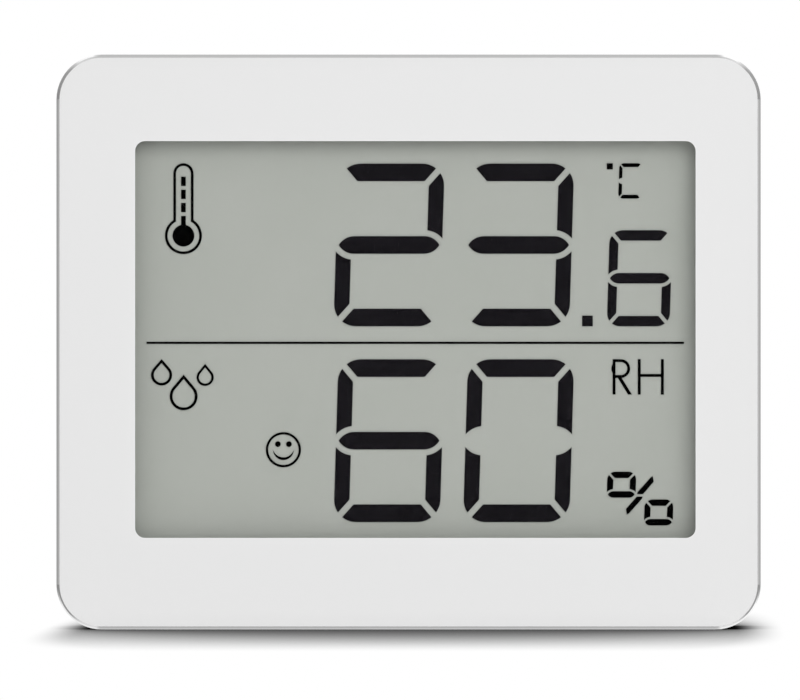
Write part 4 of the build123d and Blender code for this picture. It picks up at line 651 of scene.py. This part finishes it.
def screw_tree():
    """Screws on points: each head and shank is turned round its axis from a row of radii."""
    tree, graph, given = new_tree(
        "screws",
        [
            ("Geometry", "NodeSocketGeometry"),
            ("Head Radius", "NodeSocketFloat"),
            ("Head Height", "NodeSocketFloat"),
            ("Rounding", "NodeSocketFloat"),
            ("Shank Radius", "NodeSocketFloat"),
            ("Length", "NodeSocketFloat"),
            ("Recess Width", "NodeSocketFloat"),
            ("Recess Reach", "NodeSocketFloat"),
            ("Recess Depth", "NodeSocketFloat"),
            ("Turn Seed", "NodeSocketInt"),
            ("Steel", "NodeSocketMaterial"),
        ],
    )
    head, height, soft = given["Head Radius"], given["Head Height"], given["Rounding"]
    shank, whole = given["Shank Radius"], given["Length"]
    half_soft = graph.math("MULTIPLY", soft, EDGE_STEP)
    foot = graph.math("SUBTRACT", height, whole)
    tip = graph.math("ADD", foot, shank)
    rows = [
        (0.0, height),
        (graph.math("SUBTRACT", head, soft), height),
        (graph.math("SUBTRACT", head, half_soft), graph.math("SUBTRACT", height, half_soft)),
        (head, graph.math("SUBTRACT", height, soft)),
        (head, 0.0),
        (shank, 0.0),
        (shank, tip),
        (graph.math("MULTIPLY", shank, TIP_RADIUS), foot),
        (0.0, foot),
    ]
    sheet = graph.add(
        "GeometryNodeMeshGrid",
        {"Size X": 1.0, "Size Y": 1.0, "Vertices X": SIDES + 1, "Vertices Y": RINGS},
    )
    spot = graph.add("ShaderNodeSeparateXYZ", {0: graph.add("GeometryNodeInputPosition")}).node
    ring = graph.math(
        "ROUND", graph.math("MULTIPLY", graph.math("ADD", spot.outputs[1], 0.5), RINGS - 1)
    )
    turn = graph.math("MULTIPLY", spot.outputs[0], 2 * math.pi)
    choice = graph.tree.nodes.new("GeometryNodeIndexSwitch")
    choice.data_type = "VECTOR"
    while len(choice.index_switch_items) < RINGS:
        choice.index_switch_items.new()
    graph.tree.links.new(ring, choice.inputs["Index"])
    for number, (radius, rise) in enumerate(rows):
        row = graph.add("ShaderNodeCombineXYZ", {0: radius, 2: rise})
        graph.tree.links.new(row, choice.inputs[str(number)])
    profile = graph.add("ShaderNodeSeparateXYZ", {0: choice.outputs[0]}).node
    turned = graph.add(
        "ShaderNodeCombineXYZ",
        {
            0: graph.math("MULTIPLY", profile.outputs[0], graph.math("COSINE", turn)),
            1: graph.math("MULTIPLY", profile.outputs[0], graph.math("SINE", turn)),
            2: profile.outputs[2],
        },
    )
    body = graph.add("GeometryNodeSetPosition", {"Geometry": sheet, "Position": turned})
    body = graph.add("GeometryNodeMergeByDistance", {"Geometry": body, "Distance": SCREW_SEAM})
    reach = graph.math("MULTIPLY", graph.math("SUBTRACT", head, given["Recess Reach"]), 2.0)
    deep = graph.math("MULTIPLY", given["Recess Depth"], 2.0)
    arm = graph.add(
        "GeometryNodeMeshCube",
        {"Size": graph.add("ShaderNodeCombineXYZ", {0: reach, 1: given["Recess Width"], 2: deep})},
    )
    at = graph.add("ShaderNodeSeparateXYZ", {0: graph.add("GeometryNodeInputPosition")}).node
    below = graph.math("LESS_THAN", at.outputs[2], 0.0)
    narrow = graph.math("SUBTRACT", 1.0, graph.math("MULTIPLY", below, RECESS_TAPER))
    tapered = graph.add(
        "ShaderNodeCombineXYZ",
        {
            0: graph.math("MULTIPLY", at.outputs[0], narrow),
            1: at.outputs[1],
            2: at.outputs[2],
        },
    )
    arm = graph.add("GeometryNodeSetPosition", {"Geometry": arm, "Position": tapered})
    lift = graph.add("ShaderNodeCombineXYZ", {2: height})
    for angle in (0.0, math.pi / 2):
        tool = graph.add(
            "GeometryNodeTransform",
            {"Geometry": arm, "Translation": lift, "Rotation": (0, 0, angle)},
        )
        body = graph.add(
            "GeometryNodeMeshBoolean",
            {"Mesh 1": body, "Mesh 2": tool},
            operation="DIFFERENCE",
            solver="EXACT",
        )
    stand_up = graph.add(
        "GeometryNodeTransform", {"Geometry": body, "Rotation": (-math.pi / 2, 0, 0)}
    )
    turns = graph.add(
        "FunctionNodeRandomValue",
        {"Min": (0, 0, 0), "Max": (0, math.pi / 2, 0), "Seed": given["Turn Seed"]},
        data_type="FLOAT_VECTOR",
    )
    placed = graph.add(
        "GeometryNodeInstanceOnPoints",
        {"Points": given["Geometry"], "Instance": stand_up, "Rotation": turns},
    )
    real = graph.add("GeometryNodeRealizeInstances", {"Geometry": placed})
    done = graph.add("GeometryNodeSetMaterial", {"Geometry": real, "Material": given["Steel"]})
    graph.add("NodeGroupOutput", {"Geometry": done})
    return tree


BODY_INSET = 0.08


def component_tree():
    """Small parts on a grid: a ceramic body with a metal cap at each end."""
    tree, graph, given = new_tree(
        "components",
        [
            ("Geometry", "NodeSocketGeometry"),
            ("Part Length", "NodeSocketFloat"),
            ("Part Width", "NodeSocketFloat"),
            ("Part Height", "NodeSocketFloat"),
            ("Terminal", "NodeSocketFloat"),
            ("Ceramic", "NodeSocketMaterial"),
            ("Tin", "NodeSocketMaterial"),
        ],
    )
    long, wide, high = given["Part Length"], given["Part Width"], given["Part Height"]
    terminal = given["Terminal"]
    inset = graph.math("MULTIPLY", high, BODY_INSET)
    body_size = graph.add(
        "ShaderNodeCombineXYZ",
        {
            0: graph.math("SUBTRACT", long, graph.math("MULTIPLY", terminal, 2.0)),
            1: graph.math("SUBTRACT", high, graph.math("MULTIPLY", inset, 2.0)),
            2: graph.math("SUBTRACT", wide, graph.math("MULTIPLY", inset, 2.0)),
        },
    )
    body = graph.add("GeometryNodeMeshCube", {"Size": body_size})
    body = graph.add("GeometryNodeSetMaterial", {"Geometry": body, "Material": given["Ceramic"]})
    cap_size = graph.add("ShaderNodeCombineXYZ", {0: terminal, 1: high, 2: wide})
    cap = graph.add("GeometryNodeMeshCube", {"Size": cap_size})
    cap = graph.add("GeometryNodeSetMaterial", {"Geometry": cap, "Material": given["Tin"]})
    off = graph.math("MULTIPLY", graph.math("SUBTRACT", long, terminal), 0.5)
    join = graph.tree.nodes.new("GeometryNodeJoinGeometry")
    graph.tree.links.new(body, join.inputs[0])
    for side in (-1.0, 1.0):
        shift = graph.add("ShaderNodeCombineXYZ", {0: graph.math("MULTIPLY", off, side)})
        moved = graph.add("GeometryNodeTransform", {"Geometry": cap, "Translation": shift})
        graph.tree.links.new(moved, join.inputs[0])
    placed = graph.add(
        "GeometryNodeInstanceOnPoints", {"Points": given["Geometry"], "Instance": join.outputs[0]}
    )
    real = graph.add("GeometryNodeRealizeInstances", {"Geometry": placed})
    graph.add("NodeGroupOutput", {"Geometry": real})
    return tree


SHEET_SEAM = 0.001 * MM


def pressed_copy(name, node, press):
    """A copy of a packed sheet with its front pressed a little into the piece before it.

    Two faces in one place would flicker when they are rendered.
    """
    mesh = frame["nodes"][node].data.copy()
    mesh.name = name
    low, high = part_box(node)
    shape = bmesh.new()
    shape.from_mesh(mesh)
    bmesh.ops.remove_doubles(shape, verts=shape.verts, dist=SHEET_SEAM)
    bmesh.ops.recalc_face_normals(shape, faces=shape.faces)
    for corner in shape.verts:
        if corner.co.y < (low.y + high.y) / 2:
            corner.co.y -= press
    shape.to_mesh(mesh)
    shape.free()
    piece = bpy.data.objects.new(name, mesh)
    bpy.context.scene.collection.objects.link(piece)
    return piece


class HygrometerOperator:
    """What the operators share."""

    bl_options = {"REGISTER", "UNDO"}

    def execute(self, context):
        scene = context.scene
        self.build(scene.hygrometer_sizes, scene.hygrometer_colours)
        return {"FINISHED"}


class HYGROMETER_OT_front(HygrometerOperator, bpy.types.Operator):
    """Finish the clear panel, the print behind it and the front frame"""

    bl_idname = "hygrometer.front"
    bl_label = "Front"

    def build(self, sizes, colours):
        dress("front_panel", panel_finish(sizes, colours))
        film = pressed_copy("face_print_film", "panel_film", sizes.print_press)
        film.data.materials.clear()
        film.data.materials.append(print_finish(sizes, colours))
        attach(film, "case")
        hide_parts("panel_film")
        dress("panel_tape", moulded("adhesive_tape", finish("adhesive_tape"), 0.8, 0.5 * MM))
        dress("front_frame", frame_finish(sizes, colours))


class HYGROMETER_OT_display(HygrometerOperator, bpy.types.Operator):
    """Finish the layers of the display, its dark bars and its symbols"""

    bl_idname = "hygrometer.display"
    bl_label = "Display"

    def build(self, sizes, colours):
        dress("lcd_front_polariser", clear_layer("polariser_film", (0.985, 0.99, 0.98, 1)))
        dress("lcd_front_glass", clear_layer("display_glass", (0.99, 0.995, 0.99, 1)))
        dress("lcd_rear_glass", display_ground(colours))
        bars = display_bar("display_bars", colours.display_dark)
        dress("lcd_temperature_digits", bars)
        dress("lcd_humidity_digits", bars)
        dress("lcd_symbols", display_bar("display_symbols", colours.display_symbol))
        dress("lcd_seal", moulded("seal_resin", finish("seal_resin"), 0.35, 0.3 * MM))
        dress("lcd_reflector", metal("reflector_foil", (0.8, 0.8, 0.79, 1), 0.35))
        dress(
            "zebra_strip",
            banded("connector_rubber", (0.02, 0.02, 0.02, 1), (0.45, 0.3, 0.28, 1), 0.18 * MM),
        )
        dress("lcd_cushions", foam_finish())


class HYGROMETER_OT_case(HygrometerOperator, bpy.types.Operator):
    """Finish the rear cover, the sliding door and the folding stand"""

    bl_idname = "hygrometer.case"
    bl_label = "Case, door and stand"

    def build(self, sizes, colours):
        plastic = moulded("case_plastic", colours.case_plastic, 0.45, sizes.grain)
        for node in ("rear_cover", "battery_door", "stand"):
            dress(node, plastic)


class HYGROMETER_OT_buttons(HygrometerOperator, bpy.types.Operator):
    """Finish the two buttons and the switches under them"""

    bl_idname = "hygrometer.buttons"
    bl_label = "Buttons and switches"

    def build(self, sizes, colours):
        cap = moulded("button_plastic", colours.button, 0.38, sizes.grain)
        body = moulded("switch_plastic", finish("switch_plastic"), 0.5)
        for node in ("unit_button", "memory_button"):
            dress(node, cap)
        for node in ("switch_bodies", "unit_switch_plunger", "memory_switch_plunger"):
            dress(node, body)


class HYGROMETER_OT_screws(HygrometerOperator, bpy.types.Operator):
    """Make the case screws and the board screws"""

    bl_idname = "hygrometer.screws"
    bl_label = "Screws"

    def build(self, sizes, colours):
        tree = screw_tree()
        steel = screw_finish(colours.steel, sizes.recess_depth)
        kinds = {
            "case": (sizes.case_head, sizes.case_head_height, sizes.case_shank),
            "board": (sizes.board_head, sizes.board_head_height, sizes.board_shank),
        }
        for seed, (kind, (head, height, shank)) in enumerate(kinds.items()):
            low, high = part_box(kind + "_screws")
            base = high.y - height
            points = [
                (x, base, z)
                for x in (low.x + head, high.x - head)
                for z in (low.z + head, high.z - head)
            ]
            values = {
                "Head Radius": head,
                "Head Height": height,
                "Rounding": sizes.head_rounding,
                "Shank Radius": shank,
                "Length": high.y - low.y,
                "Recess Width": sizes.recess_width,
                "Recess Reach": sizes.recess_reach,
                "Recess Depth": sizes.recess_depth,
                "Turn Seed": seed + 3,
                "Steel": steel,
            }
            piece = grown(kind + "_screw_set", tree, values, points)
            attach(piece, "case")
            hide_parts(kind + "_screws")


class HYGROMETER_OT_board(HygrometerOperator, bpy.types.Operator):
    """Finish the circuit board and make the small parts on it"""

    bl_idname = "hygrometer.board"
    bl_label = "Circuit board"

    def build(self, sizes, colours):
        dress("circuit_board", board_finish())
        dress("chip_blob", moulded("chip_resin", finish("chip_resin"), 0.2, 1.5 * MM, 0.05 * MM))
        dress("clock_crystal", metal("tinned_metal", finish("tinned_metal"), 0.25))
        dress(
            "humidity_sensor",
            banded("sensor_ceramic", finish("sensor_ceramic"), (0.75, 0.6, 0.3, 1), 0.4 * MM),
        )
        dress("sensor_cap", moulded("sensor_plastic", finish("sensor_plastic"), 0.5))
        dress("thermistor", moulded("thermistor_resin", finish("chip_resin"), 0.25, 0.6 * MM))
        low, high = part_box("board_components")
        across = (low.x + sizes.chip_length / 2, high.x - sizes.chip_length / 2)
        first, last = low.z + sizes.chip_width / 2, high.z - sizes.chip_width / 2
        rows = [first + (last - first) * step / 3 for step in range(4)]
        values = {
            "Part Length": sizes.chip_length,
            "Part Width": sizes.chip_width,
            "Part Height": high.y - low.y,
            "Terminal": sizes.chip_terminal,
            "Ceramic": moulded("component_ceramic", finish("component_ceramic"), 0.5, 0.1 * MM),
            "Tin": metal("component_tin", finish("tinned_metal"), 0.3),
        }
        points = [(x, (low.y + high.y) / 2, z) for x in across for z in rows]
        piece = grown("small_components", component_tree(), values, points)
        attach(piece, "case")
        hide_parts("board_components")


class HYGROMETER_OT_cell(HygrometerOperator, bpy.types.Operator):
    """Finish the coin cell, its holder and its contacts"""

    bl_idname = "hygrometer.cell"
    bl_label = "Coin cell and holder"

    def build(self, sizes, colours):
        dress("coin_cell", cell_finish(*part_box("coin_cell")))
        dress("cell_holder", moulded("holder_plastic", (0.02, 0.02, 0.02, 1), 0.5))
        spring = metal("contact_metal", finish("tinned_metal"), 0.3, (1, 1, 0.1))
        for node in ("cell_contact_positive", "cell_contact_negative"):
            dress(node, spring)


def area_lamp(name, place, target, width, height, power):
    """A large soft lamp that points at a target."""
    data = bpy.data.lights.new(name, "AREA")
    data.shape = "RECTANGLE"
    data.size, data.size_y, data.energy = width, height, power
    lamp = bpy.data.objects.new(name, data)
    lamp.location = place
    lamp.rotation_euler = (Vector(target) - Vector(place)).to_track_quat("-Z", "Y").to_euler()
    lamp.visible_glossy = False
    bpy.context.scene.collection.objects.link(lamp)


def set_world(colours):
    """White where it is seen, and an even weaker light on everything."""
    world = bpy.data.worlds.new("surroundings")
    bpy.context.scene.world = world
    world.use_nodes = True
    world.node_tree.nodes.clear()
    graph = Graph(world.node_tree)
    light, white = (
        graph.add("ShaderNodeBackground", {"Color": (1, 1, 1, 1), "Strength": strength})
        for strength in (colours.world_light, 1.0)
    )
    mixed = graph.add("ShaderNodeMixShader", {0: seen_directly(graph), 1: light, 2: white})
    graph.add("ShaderNodeOutputWorld", {"Surface": mixed})


SHADOW_POWER = 3.6
SHADOW_SQUARENESS = 4.0
SHADOW_LEAN = 0.04
SHADOW_SHIFT = 0.5 * MM
BEHIND_WEAKER = 0.35
BEHIND_FADE = 20 * MM


def floor_finish(sizes, colours):
    """White to the eye but for a painted soft shadow round the object's foot, and bright to the
    object.

    The painted shadow is full over the object's width, ends softly beside it and is weaker behind
    it.
    """
    material, graph = new_graph("floor_paper")
    contact = graph.add(
        "ShaderNodeAmbientOcclusion", {"Distance": sizes.shadow_reach}, 1, samples=32
    )
    # Painted shadow: the floor's white is darkened where the object hides the surroundings, not by
    # the lamps.
    dark = graph.math("SUBTRACT", 1.0, graph.math("POWER", contact, SHADOW_POWER))
    spot = graph.add("ShaderNodeSeparateXYZ", {0: graph.place()}).node.outputs
    behind = graph.math("SUBTRACT", spot[1], PANEL_LOW.y)
    middle = graph.math("MULTIPLY_ADD", behind, SHADOW_LEAN, SHADOW_SHIFT)
    aside = graph.math("DIVIDE", graph.math("SUBTRACT", spot[0], middle), sizes.shadow_side)
    along = graph.math("DIVIDE", spot[1], sizes.shadow_end)
    powers = [
        graph.math("POWER", graph.math("ABSOLUTE", part), SHADOW_SQUARENESS)
        for part in (aside, along)
    ]
    out = graph.math("POWER", graph.math("ADD", *powers), 1 / SHADOW_SQUARENESS)
    ends = graph.math("SUBTRACT", 1.0, graph.ramp(out, sizes.shadow_core / sizes.shadow_side, 1.0))
    back = graph.ramp(spot[1], -PANEL_LOW.y, -PANEL_LOW.y + BEHIND_FADE)
    ends = graph.math("MULTIPLY", ends, graph.math("MULTIPLY_ADD", back, -BEHIND_WEAKER, 1.0))
    level = graph.math("SUBTRACT", 1.0, graph.math("MULTIPLY", dark, ends))
    fibre = graph.math("MULTIPLY_ADD", graph.noise(graph.place(), 2 * MM), 0.004, 0.998)
    level = graph.math("MULTIPLY", level, fibre)
    white = graph.add(
        "ShaderNodeEmission",
        {"Color": graph.add("ShaderNodeCombineColor", {0: level, 1: level, 2: level})},
    )
    bright = graph.add(
        "ShaderNodeEmission", {"Color": (1, 1, 1, 1), "Strength": colours.floor_light}
    )
    graph.surface(graph.add("ShaderNodeMixShader", {0: seen_directly(graph), 1: bright, 2: white}))
    return material


FLOOR_REACH = 3.0


class HYGROMETER_OT_stage(HygrometerOperator, bpy.types.Operator):
    """Make the floor, the lamps, the surroundings and the camera"""

    bl_idname = "hygrometer.stage"
    bl_label = "Stage"

    def build(self, sizes, colours):
        corners = ((-1, -1), (1, -1), (1, 1), (-1, 1))
        places = [(x * FLOOR_REACH, y * FLOOR_REACH, 0.0) for x, y in corners]
        data = bpy.data.meshes.new("floor")
        data.from_pydata(places, [], [(0, 1, 2, 3)])
        data.materials.append(floor_finish(sizes, colours))
        floor = bpy.data.objects.new("floor", data)
        bpy.context.scene.collection.objects.link(floor)
        set_world(colours)
        target = (0.0, 0.0, (PANEL_LOW.z + PANEL_HIGH.z) / 2)
        lamps = (
            ("main_lamp", (0.34, -0.9, 0.4), 0.9, 0.7, colours.key_light),
            ("back_lamp", (-0.3, 1.0, 0.7), 1.0, 1.0, colours.back_light),
            ("top_lamp", (0.0, 0.1, 1.2), 0.8, 0.8, colours.top_light),
        )
        for name, place, width, height, power in lamps:
            area_lamp(name, place, target, width, height, power)
        lens = bpy.data.cameras.new("camera")
        camera = bpy.data.objects.new("camera", lens)
        bpy.context.scene.collection.objects.link(camera)
        lens.lens = lens.sensor_width * sizes.camera_distance / sizes.view_width
        lens.clip_start, lens.clip_end = 0.01, 20.0
        camera.location = (sizes.view_x, PANEL_LOW.y - sizes.camera_distance, sizes.view_z)
        camera.rotation_euler = (math.pi / 2, 0.0, 0.0)
        scene = bpy.context.scene
        scene.camera = camera
        scene.view_settings.view_transform = "Standard"
        scene.cycles.transparent_max_bounces = 32


STEPS = (
    HYGROMETER_OT_front,
    HYGROMETER_OT_display,
    HYGROMETER_OT_case,
    HYGROMETER_OT_buttons,
    HYGROMETER_OT_screws,
    HYGROMETER_OT_board,
    HYGROMETER_OT_cell,
    HYGROMETER_OT_stage,
)


class VIEW3D_PT_hygrometer(bpy.types.Panel):
    """Buttons for the pieces and their sizes and colours"""

    bl_label = "Hygrometer"
    bl_space_type = "VIEW_3D"
    bl_region_type = "UI"
    bl_category = "Hygrometer"

    def draw(self, context):
        for step in STEPS:
            self.layout.operator(step.bl_idname)
        for group in (context.scene.hygrometer_sizes, context.scene.hygrometer_colours):
            box = self.layout.box()
            for name in group.__annotations__:
                box.prop(group, name)


CLASSES = (HygrometerSizes, HygrometerColours, *STEPS, VIEW3D_PT_hygrometer)


def register():
    for kind in CLASSES:
        bpy.utils.register_class(kind)
    bpy.types.Scene.hygrometer_sizes = bpy.props.PointerProperty(type=HygrometerSizes)
    bpy.types.Scene.hygrometer_colours = bpy.props.PointerProperty(type=HygrometerColours)


def unregister():
    del bpy.types.Scene.hygrometer_colours
    del bpy.types.Scene.hygrometer_sizes
    for kind in reversed(CLASSES):
        bpy.utils.unregister_class(kind)


def main():
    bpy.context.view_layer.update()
    register()
    for step in STEPS:
        group, action = step.bl_idname.split(".")
        getattr(getattr(bpy.ops, group), action)()


if __name__ == "__main__":
    main()
